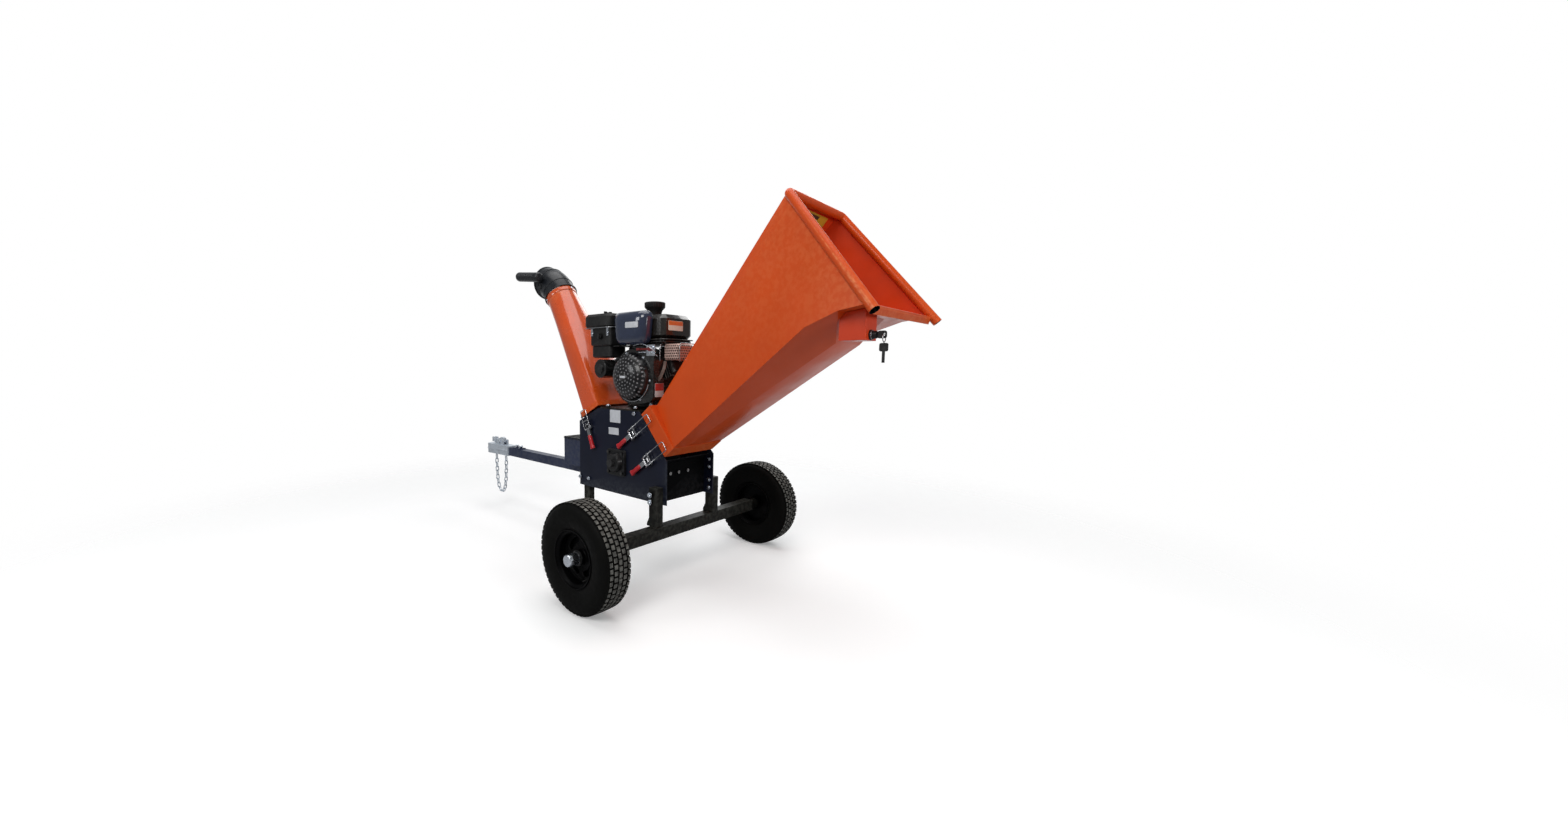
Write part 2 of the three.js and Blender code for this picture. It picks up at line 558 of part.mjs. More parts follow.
function addHopper() {
  const { halfBase, halfWidth, collar, length } = HOPPER;
  const skin = 3;
  const shellOuter = hopperLoft(0, collar - 4, length - 4);
  const shellInner = hopperLoft(-skin, collar - 6, length);
  const collarBox = block(GAP, collar, -halfWidth, halfWidth, -halfBase, halfBase);
  const collarHole = block(-5, collar - skin, skin - halfWidth, halfWidth - skin, skin - halfBase, halfBase - skin);
  const throat = hopperLoft(-skin, collar - 8, collar + 20);
  const lipShape = strip([[length - 24, -262], [length - 8, -253], [length - 4, -246]], 3).map(([a, b]) => [a, b]);
  const lip = sheetXZ(lipShape.reverse(), -238, 238);
  const catches = [66, -66].map((z) => join(
    block(12, 40, -halfWidth - 3, 2 - halfWidth, z - 15, z + 15),
    block(24, 30, -halfWidth - 8, 2 - halfWidth, z - 6, z + 6),
  ));
  const knuckle = (z) => join(
    rod([0, halfWidth + 12, z - 20], [0, halfWidth + 12, z + 20], 9, 12),
    block(2, 30, halfWidth - 2, halfWidth + 4, z - 20, z + 20),
    block(0, 9, halfWidth + 2, halfWidth + 12, z - 20, z + 20),
  );
  const pinHole = rod([0, halfWidth + 12, -140], [0, halfWidth + 12, 140], 5.8, 12);
  const body = cut(
    join(cut(shellOuter, shellInner), cut(collarBox, collarHole, throat), lip, ...catches, knuckle(70), knuckle(-70)),
    pinHole, shellInner);
  place('hopper_shell', body, ORANGE_PAINT, hopperFrame);

  const r = 15.5;
  const corner = (side) => [MOUTH.tubeX, side * MOUTH.tubeTopHalf, MOUTH.tubeTop];
  const foot = (side) => [MOUTH.tubeX - 2, side * MOUTH.tubeFootHalf, MOUTH.tubeFoot];
  const tubes = join(
    rod(foot(-1), corner(-1), r, 14), rod(foot(1), corner(1), r, 14), rod(corner(-1), corner(1), r, 14),
    new THREE.SphereGeometry(r, 14, 8).translate(...corner(-1)),
    new THREE.SphereGeometry(r, 14, 8).translate(...corner(1)),
  );
  const bores = [-1, 1].map((side) => {
    const axis = new THREE.Vector3(...corner(side)).sub(new THREE.Vector3(...foot(side))).normalize();
    const start = new THREE.Vector3(...foot(side)).addScaledVector(axis, -4);
    const end = new THREE.Vector3(...foot(side)).addScaledVector(axis, 70);
    return rod(start.toArray(), end.toArray(), r - 3, 14);
  });
  const seat = hopperLoft(GAP, length - 60, length - 4 + GAP);
  place('hopper_rim', cut(tubes, ...bores, seat), ORANGE_PAINT, hopperFrame);
}

// Everything outside the hopper is placed in the machine's own frame.
function outerHopper(grow) {
  const geometry = toGeometry(toSolid(hopperLoft(grow, 700, HOPPER.length - 4)));
  hopperFrame.updateMatrixWorld(true);
  return geometry.applyMatrix4(hopperFrame.matrixWorld);
}

function addKeys() {
  const { x, y, z } = KEY;
  const box = toSolid(block(772, x, -198, -122, 970, 1062));
  place('key_box', cut(box, outerHopper(GAP)), ORANGE_PAINT);
  const barrel = (x0, x1, r) => rod([x0, y, z], [x1, y, z], r, 20);
  place('key_switch', cut(join(barrel(x + GAP, x + 5, 15), barrel(x + 4, x + 20, 11)),
    barrel(x + 14, x + 21, 4.8)), PLASTIC);
  const keyHead = sheetXZ(roundedBox(13, 11, 6, 3).map(([a, b]) => [x + 34 + a, z + b]), y - 2.5, y + 2.5);
  const keyBlade = block(x + 15, x + 23, y - 1.2, y + 1.2, z - 4, z + 4);
  const keyHole = rod([x + 40, y - 5, z], [x + 40, y + 5, z], 4, 12);
  place('ignition_key', cut(join(keyHead, keyBlade), keyHole), PLASTIC);

  const ringZ = z - 10;
  const split = new THREE.TorusGeometry(11, 1.2, 5, 14).rotateY(Math.PI / 2).translate(x + 40, y, ringZ);
  const tie = rod([x + 40, y, ringZ - 10.5], [x + 40, y, ringZ - 16], 1.6, 8);
  const head = sheetXZ(roundedBox(12, 12, 5, 3).map(([a, b]) => [x + 40 + a, ringZ - 26 + b]), y - 3, y + 3);
  const blade = block(x + 36, x + 44, y - 1.2, y + 1.2, ringZ - 70, ringZ - 37);
  place('spare_key', join(split, tie, head, blade), PLASTIC);
}
addHopper();
addKeys();

function addHopperHinge() {
  const axisY = HOPPER.halfWidth + 12;
  const pin = rod([0, axisY, -96], [0, axisY, 96], 5, 12);
  const heads = [-1, 1].map((side) => rod([0, axisY, side * 92], [0, axisY, side * 100], 8, 12));
  const knuckle = rod([0, axisY, -49], [0, axisY, 49], 9, 12);
  const leaf = block(-52, -10, PLATE.outer + GAP, PLATE.outer + 4.4, -49, 49);
  const web = sheetLocal([[-14, PLATE.outer + GAP], [-8, PLATE.outer + GAP], [2, axisY], [-4, axisY + 3]], -49, 49);
  place('hopper_hinge', join(pin, ...heads, knuckle, leaf, web), STEEL, hopperFrame);
}

// Plate whose outline is given in X and Y and which fills the span from z0 to z1.
function sheetLocal(points, z0, z1) {
  const shape = new THREE.Shape(points.map(([x, y]) => new THREE.Vector2(x, y)));
  return new THREE.ExtrudeGeometry(shape, { depth: z1 - z0, bevelEnabled: false }).translate(0, 0, z0);
}
addHopperHinge();

// ---------------------------------------------------------------- discharge chute and its hood

function chuteSection(t, grow) {
  const points = [];
  const count = 20;
  for (let i = 0; i < count; i += 1) {
    const angle = (i + 0.5) / count * 2 * Math.PI;
    const [c, s] = [Math.cos(angle), Math.sin(angle)];
    const reach = 1 / Math.max(Math.abs(c), Math.abs(s));
    const square = [c * reach * (CHUTE.halfX - 4), s * reach * (CHUTE.halfY - 6)];
    const round = [c * CHUTE.topRadius, s * CHUTE.topRadius];
    const x = square[0] + (round[0] - square[0]) * t + c * grow + CHUTE.top[0] * t;
    const y = square[1] + (round[1] - square[1]) * t + s * grow;
    const tiltTop = -(x - CHUTE.top[0] * t) * Math.tan(LEAN) * t;
    points.push(new THREE.Vector3(x, y, 3 + (CHUTE.top[1] - 3) * t - tiltTop * -1));
  }
  return points;
}

// Angle between the chute's own axis and the normal of its base flange.
const LEAN = Math.atan2(-CHUTE.top[0], CHUTE.top[1]);

function chuteLoft(grow, from = 0, to = 1) {
  const rings = [];
  const steps = 3;
  for (let i = 0; i <= steps; i += 1) rings.push(chuteSection(from + (to - from) * i / steps, grow));
  return loft(rings);
}

function addChute() {
  const { halfX, halfY, top, topRadius } = CHUTE;
  const skin = 3;
  const flange = block(-halfX - 3, halfX + 3, -halfY, halfY, GAP, 24);
  const axis = [-Math.sin(LEAN), 0, Math.cos(LEAN)];
  const along = (d) => [top[0] + axis[0] * d, 0, top[1] + axis[2] * d];
  const collar = rod(along(-22), along(0), topRadius + 5, 20);
  const collarBore = rod(along(-60), along(5), topRadius - skin, 20);
  const catchPlate = join(
    block(-44, -16, -halfY - 3, 2 - halfY, 4, 22),
    block(-36, -24, -halfY - 8, 2 - halfY, 11, 17),
  );
  const knuckle = (x) => join(
    rod([x - 14, halfY + 12, 0], [x + 14, halfY + 12, 0], 9, 12),
    block(x - 14, x + 14, halfY - 2, halfY + 12, 2, 9),
  );
  const pinHole = rod([-90, halfY + 12, 0], [90, halfY + 12, 0], 5.8, 12);
  const hollow = chuteLoft(-skin, -0.02, 1.02);
  const shell = cut(join(chuteLoft(0), flange, collar, catchPlate, knuckle(40), knuckle(-40)),
    hollow, collarBore, pinHole,
    block(-halfX, halfX, 3 - halfY, halfY - 3, -5, 21));
  place('chute_shell', shell, ORANGE_PAINT, chuteFrame);

  const pin = rod([-62, halfY + 12, 0], [62, halfY + 12, 0], 5, 12);
  const middle = rod([-23, halfY + 12, 0], [23, halfY + 12, 0], 9, 12);
  const leaf = block(-23, 23, PLATE.outer + GAP, PLATE.outer + 4.4, -40, -10);
  const web = block(-23, 23, PLATE.outer + GAP, halfY + 12, -11, -5);
  place('chute_hinge', join(pin, middle, leaf, web), STEEL, chuteFrame);

  const rings = [];
  const bores = [];
  let centre = new THREE.Vector3(...along(1));
  for (let i = 0; i <= HOOD.steps + 1; i += 1) {
    const bend = LEAN + Math.max(0, i - 1) * HOOD.bend / HOOD.steps * RAD;
    const middle = LEAN + Math.max(0, i - 1.5) * HOOD.bend / HOOD.steps * RAD;
    const stride = i === 0 ? 0 : i === 1 ? 19 : HOOD.length / HOOD.steps;
    centre = centre.clone().add(new THREE.Vector3(-Math.sin(middle), 0, Math.cos(middle)).multiplyScalar(stride));
    const shift = i === 0 ? -4 : i === HOOD.steps + 1 ? 4 : 0;
    rings.push(hoodRing(centre, bend, HOOD.radius, 0));
    bores.push(hoodRing(centre, bend, HOOD.radius - HOOD.wall, shift));
  }
  const end = LEAN + HOOD.bend * RAD;
  const ahead = (d) => [centre.x - Math.sin(end) * d, 0, centre.z + Math.cos(end) * d];
  const pads = [[-124, 762], [-150, 790]].map(([x, z]) => block(x - 12, x + 12, -HOOD.gripY + 25.4, -60, z - 9, z + 9));
  const solid = join(loft(rings), rod(along(1), along(9), HOOD.radius + 5, 20), rod(ahead(-7), ahead(0), HOOD.radius + 4, 20), ...pads);
  place('chute_hood', cut(solid, loft(bores)), PLASTIC, chuteFrame);
}

function hoodRing(centre, bend, radius, shift) {
  const across = new THREE.Vector3(Math.cos(bend), 0, Math.sin(bend));
  const out = new THREE.Vector3(-Math.sin(bend), 0, Math.cos(bend));
  const points = [];
  for (let k = 0; k < 20; k += 1) {
    const a = k / 20 * 2 * Math.PI;
    const point = centre.clone().addScaledVector(out, shift).addScaledVector(across, radius * Math.cos(a));
    points.push(point.add(new THREE.Vector3(0, radius * Math.sin(a), 0)));
  }
  return points;
}
addChute();

function addGrip() {
  const y = -HOOD.gripY;
  const [a, b] = [[-1134, y, 1374], [-930, y, 1350]];
  const heading = new THREE.Vector3(...b).sub(new THREE.Vector3(...a)).normalize();
  const at = (d) => new THREE.Vector3(...a).addScaledVector(heading, d).toArray();
  const length = new THREE.Vector3(...a).distanceTo(new THREE.Vector3(...b));
  const grip = join(rod(at(3), at(length - 3), 25, 18), rod(at(8), at(0), 22, 18, 20), rod(at(length - 8), at(length), 22, 18, 20));
  place('hood_grip', grip, PLASTIC);
}
addGrip();

// ---------------------------------------------------------------- latches

function addLatch(latch) {
  const { standoff, halfGap } = LATCH;
  const { pivot } = latch;
  const bailPivot = pivot + LATCH.reach;
  const handle = pivot + LATCH.handle;
  const frame = latchFrame(latch);
  machine.add(frame);
  const lever = join(
    block(-handle + 60, -pivot + 8, -standoff - 4, -standoff + 4, -9, 9),
    rod([-pivot, -standoff, -halfGap + 0.6], [-pivot, -standoff, halfGap - 0.6], 6, 10),
    rod([-handle, -standoff - 2, 0], [-handle + 66, -standoff - 2, 0], 10, 12, 8),
    rod([-bailPivot, -standoff, -17], [-bailPivot, -standoff, 17], 4, 8),
  );
  place(`${latch.name}_lever`, lever, RED_GRIP, frame);
  const side = (sign) => join(
    rod([-bailPivot, -standoff - 0, sign * 18.5 - 1], [-bailPivot, -standoff, sign * 18.5 + 4 * sign - 1], 7, 8),
    rod([-bailPivot, -standoff - 5.5, sign * 20], [32, -standoff - 5.5, sign * 20], 2.5, 6),
  );
  const cross = rod([32, -standoff - 5.5, -20], [32, -standoff - 5.5, 20], 2.5, 6);
  const caps = [-1, 1].map((sign) => new THREE.SphereGeometry(2.5, 6, 4).translate(32, -standoff - 5.5, sign * 20));
  place(`${latch.name}_bail`, join(side(-1), side(1), cross, ...caps), ZINC, frame);
}
LATCHES.forEach(addLatch);

// ---------------------------------------------------------------- engine

function addEngine() {
  const { x, z } = CRANK;
  const cord = [x - 84, z + 78];
  const cordHole = rod([cord[0], -140, cord[1]], [cord[0], 60, cord[1]], 4, 12);
  const shaftHole = rod([x, 60, z], [x, 200, z], CRANK.radius + 1.5, 24);
  const crankcase = softBox(x - 95, x + 92, -58, 118, BASE_Z, z + 70, 18, 8);
  const feet = block(x - 110, x + 80, -50, 110, BASE_Z, BASE_Z + 12);
  const barrel = softBox(60, 178, -46, 96, -58, 66, 14, 6).rotateY(-25 * RAD).translate(x, 0, z);
  const fins = [0, 1, 2, 3, 4].map((i) =>
    block(96 + i * 13, 101 + i * 13, -54, 104, -64, 72).rotateY(-25 * RAD).translate(x, 0, z));
  const carb = join(softBox(-344, -290, -24, 60, 926, 980, 10, 4), rod([-300, 0, 934], [-240, 0, 890], 20));
  place('engine_block', cut(join(crankcase, feet, barrel, carb, ...fins), cordHole, shaftHole), ALUMINIUM);

  const scroll = [];
  for (let a = 75; a <= 285; a += 15) scroll.push([x + 120 * Math.cos(a * RAD), z + 120 * Math.sin(a * RAD)]);
  scroll.push([x + 74, z - 112], [x + 112, z - 102], [x + 128, z - 86], [x + 132, z + 105], [x + 60, z + 132], [x - 10, z + 128]);
  const housing = cut(sheetXZ(scroll, -124, -60), rod([x, -110, z], [x, -50, z], 92, 24));
  place('blower_housing', cut(housing, cordHole), ENGINE_BLACK);

  const dome = [
    [0, -182], [38, -180.5], [70, -173], [90, -160], [102, -140], [106, -124.4], [99, -124.4],
    [95, -140], [84, -155], [66, -167], [36, -175], [0, -177],
  ];
  place('recoil_starter', turned(dome, x, z, 28), ENGINE_BLACK);

  const handleAt = [cord[0], -124.4 - GAP, cord[1]];
  const grip = join(
    rod([handleAt[0] - 15, handleAt[1] - 9, handleAt[2] - 8], [handleAt[0] + 9, handleAt[1] - 9, handleAt[2] + 5], 6.5, 12),
    rod([handleAt[0], handleAt[1] - 9, handleAt[2]], handleAt, 7, 12),
    rod([handleAt[0], handleAt[1] - 2, handleAt[2]], [handleAt[0], handleAt[1] + 160, handleAt[2]], 2.2, 8),
  );
  place('recoil_handle', grip, PLASTIC);

  const cover = [[-105.8, 1], [-122, 1], [-146, 0.93], [-158, 0.72], [-161, 0.45]].map(([y, k]) =>
    roundedBox(100 * k, 72 * k, 34 * k, 4).map(([a, b]) => new THREE.Vector3(a * (1 + b / 900) - 201, y, 1054.5 + b)));
  place('top_cover', loft(cover), ENGINE_BLACK);

  const tank = join(
    softBox(-316, -36, -100, 84, 1005, 1110, 30, 18), softBox(-316, -36, -100, 84, 986, 1006, 26, 8),
    softBox(-321, -31, -105, 89, 1002, 1008, 28, 1.5), rod([-172, -20, 1104], [-172, -20, 1128], 25, 18),
  );
  const spout = rod([-172, -20, 1060], [-172, -20, 1140], 20, 24);
  place('fuel_tank', cut(tank, spout), ENGINE_BLACK);
  const capProfile = [
    [0, 1172], [43, 1171], [46, 1166], [46, 1150], [40, 1144], [31, 1136], [29, 1112], [25.6, 1112], [25.6, 1130],
    [0, 1130],
  ];
  const cap = new THREE.LatheGeometry(capProfile.map(([r, h]) => new THREE.Vector2(r, h)).reverse(), 24);
  place('fuel_cap', cut(cap.rotateX(Math.PI / 2).translate(-172, -20, 0)), PLASTIC);

  const cleaner = join(
    softBox(-516, -328, -150, -6, 1062, 1128, 28, 12), softBox(-478, -332, -140, -16, 984, 1068, 12, 5),
    softBox(-482, -346, -128, -30, 930, 988, 14, 6),
    rod([-398, -138, 1026], [-398, -152, 1026], 13, 16), block(-403, -393, -158, -148, 1014, 1038),
  );
  place('air_cleaner', cleaner, PLASTIC);
  const motor = join(rod([-398, -146, 880], [-398, 20, 880], 42, 24), rod([-398, -152, 880], [-398, -144, 880], 22, 20),
    rod([-440, -70, 872], [-440, 10, 872], 24, 16), block(-370, x - 95.5, -10, 20, 846, 876));
  place('starter_motor', motor, PLASTIC);

  const muffler = join(softBox(-52, 48, -92, 92, 918, 978, 20, 10), rod([-40, 20, 925], [-58, 20, 896], 17, 18),
    rod([44, 60, 950], [70, 60, 950], 13, 16));
  const pipeBore = rod([40, 60, 950], [80, 60, 950], 10, 16);
  place('muffler', cut(muffler, pipeBore, engineSpace()), STEEL);
  const guardOuter = softBox(-58, 56, -104, -10, 912, 985, 22, 10);
  const guardInner = softBox(-60, 50, -100, 10, 906, 982, 20, 10);
  const guard = cut(guardOuter, guardInner, block(-70, -30, -120, 20, 900, 1000));
  place('muffler_guard', guard, STEEL);

  const leverAt = [-96, 964];
  const throttle = join(rod([leverAt[0], -132, leverAt[1]], [leverAt[0], -124 - GAP, leverAt[1]], 9, 14),
    block(leverAt[0] - 62, leverAt[0], -131, -128, leverAt[1] - 4, leverAt[1] + 4),
    block(leverAt[0] - 74, leverAt[0] - 58, -134, -126, leverAt[1] - 5, leverAt[1] + 5));
  place('throttle_lever', throttle, RED_GRIP);
}

// Space taken by the finned cylinder, kept free by the pieces beside it.
function engineSpace() {
  return block(40, 190, -60, 110, -72, 80).rotateY(-25 * RAD).translate(CRANK.x, 0, CRANK.z);
}
addEngine();

// ---------------------------------------------------------------- origin at the centre of the footprint

const bounds = new THREE.Box3().setFromObject(machine);
machine.position.x = -(bounds.min.x + bounds.max.x) / 2;

export default machine;
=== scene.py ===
import json
from math import atan2, copysign, cos, hypot, pi, sin, tan

import bmesh
import bpy
from mathutils import Matrix, Vector


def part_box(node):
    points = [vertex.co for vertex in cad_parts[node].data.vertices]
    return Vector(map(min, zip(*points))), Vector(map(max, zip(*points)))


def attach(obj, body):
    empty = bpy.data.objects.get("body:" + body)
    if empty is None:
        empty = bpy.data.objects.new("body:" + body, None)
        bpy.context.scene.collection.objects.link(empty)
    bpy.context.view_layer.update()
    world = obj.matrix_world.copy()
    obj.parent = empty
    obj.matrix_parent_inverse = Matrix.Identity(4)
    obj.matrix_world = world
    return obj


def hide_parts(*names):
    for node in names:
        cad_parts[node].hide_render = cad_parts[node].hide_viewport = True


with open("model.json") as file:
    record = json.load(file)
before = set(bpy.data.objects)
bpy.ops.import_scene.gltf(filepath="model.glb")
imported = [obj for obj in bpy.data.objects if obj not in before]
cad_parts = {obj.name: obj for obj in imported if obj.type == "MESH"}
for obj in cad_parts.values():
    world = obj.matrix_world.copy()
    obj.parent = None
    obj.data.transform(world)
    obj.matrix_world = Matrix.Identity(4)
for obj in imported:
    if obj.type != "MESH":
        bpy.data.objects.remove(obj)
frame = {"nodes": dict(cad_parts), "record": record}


def write_size():
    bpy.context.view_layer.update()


write_size()

RAD = pi / 180
LO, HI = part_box("axle_beam")
OX = (LO.x + HI.x) / 2          # the axle's place along the row frame, in metres
NODE_BODY = {n: b for b, ns in frame["record"]["behaviour"]["bodies"].items() for n in ns}


# ---- camera, light and floor

def row(x, y, z):
    """A point given in millimetres from the ground below the axle, in the row frame in metres."""
    return Vector((x / 1000 + OX, y / 1000, z / 1000))


def make_camera():
    """A wide lens at waist height, close to the machine, with a small roll."""
    spot, focal, shift = row(1492.9, -1682.4, 889.9), 12.098, (0.07497, 0.00948)
    heading, pitch, roll = 133.727 * RAD, -5.951 * RAD, 0.402 * RAD
    forward = Vector((cos(heading) * cos(pitch), sin(heading) * cos(pitch), sin(pitch)))
    right = forward.cross(Vector((0, 0, 1))).normalized()
    up = right.cross(forward)
    right, up = cos(roll) * right + sin(roll) * up, cos(roll) * up - sin(roll) * right
    data = bpy.data.cameras.new("camera")
    data.sensor_fit, data.sensor_width, data.lens = "HORIZONTAL", 36, focal
    data.shift_x, data.shift_y = shift
    data.clip_start, data.clip_end = 0.01, 200
    camera = bpy.data.objects.new("camera", data)
    bpy.context.scene.collection.objects.link(camera)
    turn = Matrix((right, up, -forward)).transposed()
    camera.matrix_world = Matrix.Translation(spot) @ turn.to_4x4()
    bpy.context.scene.camera = camera


def smooth_range(nodes, links, value, low, high, start, end):
    """A node that goes smoothly from start to end while its input goes from low to high."""
    node = nodes.new("ShaderNodeMapRange")
    node.interpolation_type = "SMOOTHSTEP"
    for socket, number in (("From Min", low), ("From Max", high), ("To Min", start), ("To Max", end)):
        node.inputs[socket].default_value = number
    links.new(value, node.inputs["Value"])
    return node.outputs[0]


def make_floor():
    """A pale floor that fades into the surround, near white to the camera and darker to the machine."""
    size, fade_from, fade_to = 6, 1.2, 3.4
    mesh = bpy.data.meshes.new("floor")
    corners = [(-size, -size, 0), (size, -size, 0), (size, size, 0), (-size, size, 0)]
    mesh.from_pydata(corners, [], [(0, 1, 2, 3)])
    floor = bpy.data.objects.new("floor", mesh)
    bpy.context.scene.collection.objects.link(floor)
    floor.location.z = -0.0005
    mat = bpy.data.materials.new("floor_pale")
    mat.use_nodes = True
    nodes, links = mat.node_tree.nodes, mat.node_tree.links
    bsdf = nodes["Principled BSDF"]
    bsdf.inputs["Roughness"].default_value = 0.9
    bsdf.inputs["Emission Color"].default_value = (1, 1, 1, 1)
    sight = nodes.new("ShaderNodeLightPath").outputs["Is Camera Ray"]
    tone, glow = nodes.new("ShaderNodeMix"), nodes.new("ShaderNodeMath")
    tone.data_type = "RGBA"
    tone.inputs[6].default_value = (0.42, 0.42, 0.43, 1)
    tone.inputs[7].default_value = (0.96, 0.96, 0.96, 1)
    links.new(sight, tone.inputs[0])
    links.new(tone.outputs[2], bsdf.inputs["Base Color"])
    glow.operation = "MULTIPLY"
    glow.inputs[1].default_value = 0.2
    links.new(sight, glow.inputs[0])
    links.new(glow.outputs[0], bsdf.inputs["Emission Strength"])
    coords, length = nodes.new("ShaderNodeTexCoord"), nodes.new("ShaderNodeVectorMath")
    length.operation = "LENGTH"
    links.new(coords.outputs["Object"], length.inputs[0])
    fade = smooth_range(nodes, links, length.outputs["Value"], fade_from, fade_to, 1.0, 0.0)
    links.new(fade, bsdf.inputs["Alpha"])
    mesh.materials.append(mat)


def make_surround():
    """White to the camera; to the machine a soft fill that is brightest on the side away from the camera."""
    world = bpy.data.worlds.new("studio")
    bpy.context.scene.world = world
    world.use_nodes = True
    nodes, links = world.node_tree.nodes, world.node_tree.links
    seen, fill = nodes["Background"], nodes.new("ShaderNodeBackground")
    seen.inputs[0].default_value = (1, 1, 1, 1)
    fill.inputs[0].default_value = (0.96, 0.98, 1, 1)
    coords, toward = nodes.new("ShaderNodeTexCoord"), nodes.new("ShaderNodeVectorMath")
    toward.operation = "DOT_PRODUCT"
    toward.inputs[1].default_value = (-0.69, 0.72, 0.05)
    links.new(coords.outputs["Generated"], toward.inputs[0])
    links.new(smooth_range(nodes, links, toward.outputs["Value"], 0.55, 0.95, 0.2, 0.95), fill.inputs[1])
    path, mix = nodes.new("ShaderNodeLightPath"), nodes.new("ShaderNodeMixShader")
    links.new(path.outputs["Is Camera Ray"], mix.inputs[0])
    links.new(fill.outputs[0], mix.inputs[1])
    links.new(seen.outputs[0], mix.inputs[2])
    links.new(mix.outputs[0], nodes["World Output"].inputs[0])


LIGHTS = [      # name, place, aim, width in metres, power in watts, colour
    ("key", (1.8, -3.6, 3.4), (0, 0, 0.6), 2.2, 74, (1, 0.99, 0.97)),
    ("side", (-1.4, -4.4, 2.2), (-0.2, 0, 0.8), 1.6, 34, (0.97, 0.98, 1)),
    ("back", (-1.0, 3.4, 3.0), (0, 0, 0.8), 2.4, 34, (1, 1, 1)),
    ("strip", (3.2, -0.2, 1.3), (0, 0, 0.8), 1.0, 16, (1, 1, 1)),
    ("top", (0, 0, 4.4), (0, 0, 0), 4.0, 78, (1, 1, 1)),
]


def make_lights():
    for name, place, target, width, power, colour in LIGHTS:
        data = bpy.data.lights.new(name, "AREA")
        data.shape, data.size, data.size_y = "RECTANGLE", width, width * 0.8
        data.energy, data.color = power, colour
        lamp = bpy.data.objects.new(name, data)
        bpy.context.scene.collection.objects.link(lamp)
        lamp.location, lamp.rotation_mode = place, "QUATERNION"
        lamp.rotation_quaternion = (Vector(target) - Vector(place)).to_track_quat("-Z", "Y")
    view = bpy.context.scene.view_settings
    view.view_transform, view.look, view.exposure = "Standard", "None", 0.0


make_camera()
make_floor()
make_surround()
make_lights()


# ---- materials

class Nodes:
    """Small helper round a material's node tree."""

    def __init__(self, name):
        self.mat = bpy.data.materials.new(name)
        self.mat.use_nodes = True
        self.tree = self.mat.node_tree
        self.bsdf = self.tree.nodes["Principled BSDF"]
        self.coords = self.add("ShaderNodeTexCoord").outputs["Object"]

    def add(self, kind, **values):
        node = self.tree.nodes.new(kind)
        for key, value in values.items():
            setattr(node, key, value)
        return node

    def link(self, a, b):
        self.tree.links.new(a, b)

    def feed(self, socket, value):
        """Links a socket, or sets it to a number or a colour."""
        if isinstance(value, bpy.types.NodeSocket):
            self.link(value, socket)
        else:
            socket.default_value = (*value, 1) if hasattr(value, "__len__") else value

    def noise(self, scale, detail=4, rough=0.55, stretch=(1, 1, 1)):
        mapping = self.add("ShaderNodeMapping")
        mapping.inputs["Scale"].default_value = stretch
        self.link(self.coords, mapping.inputs["Vector"])
        node = self.add("ShaderNodeTexNoise")
        for socket, value in (("Scale", scale), ("Detail", detail), ("Roughness", rough)):
            node.inputs[socket].default_value = value
        self.link(mapping.outputs[0], node.inputs["Vector"])
        return node.outputs["Fac"]

    def ramp(self, fac, stops):
        node = self.add("ShaderNodeValToRGB")
        elements = node.color_ramp.elements
        while len(elements) < len(stops):
            elements.new(0.5)
        for element, (place, value) in zip(elements, stops):
            element.position = place
            element.color = (*value, 1) if hasattr(value, "__len__") else (value, value, value, 1)
        self.link(fac, node.inputs[0])
        return node.outputs[0]

    def mix(self, fac, a, b):
        node = self.add("ShaderNodeMix", data_type="RGBA")
        for index, value in ((0, fac), (6, a), (7, b)):
            self.feed(node.inputs[index], value)
        return node.outputs[2]

    def maths(self, kind, a, b=0.0):
        node = self.add("ShaderNodeMath", operation=kind)
        for index, value in enumerate((a, b)):
            self.feed(node.inputs[index], value)
        return node.outputs[0]

    def bump(self, height, strength, distance):
        node = self.add("ShaderNodeBump")
        node.inputs["Strength"].default_value = strength
        node.inputs["Distance"].default_value = distance
        self.link(height, node.inputs["Height"])
        return node.outputs[0]

    def edges(self, low=0.52, high=0.62):
        return self.ramp(self.add("ShaderNodeNewGeometry").outputs["Pointiness"], [(low, 0.0), (high, 1.0)])


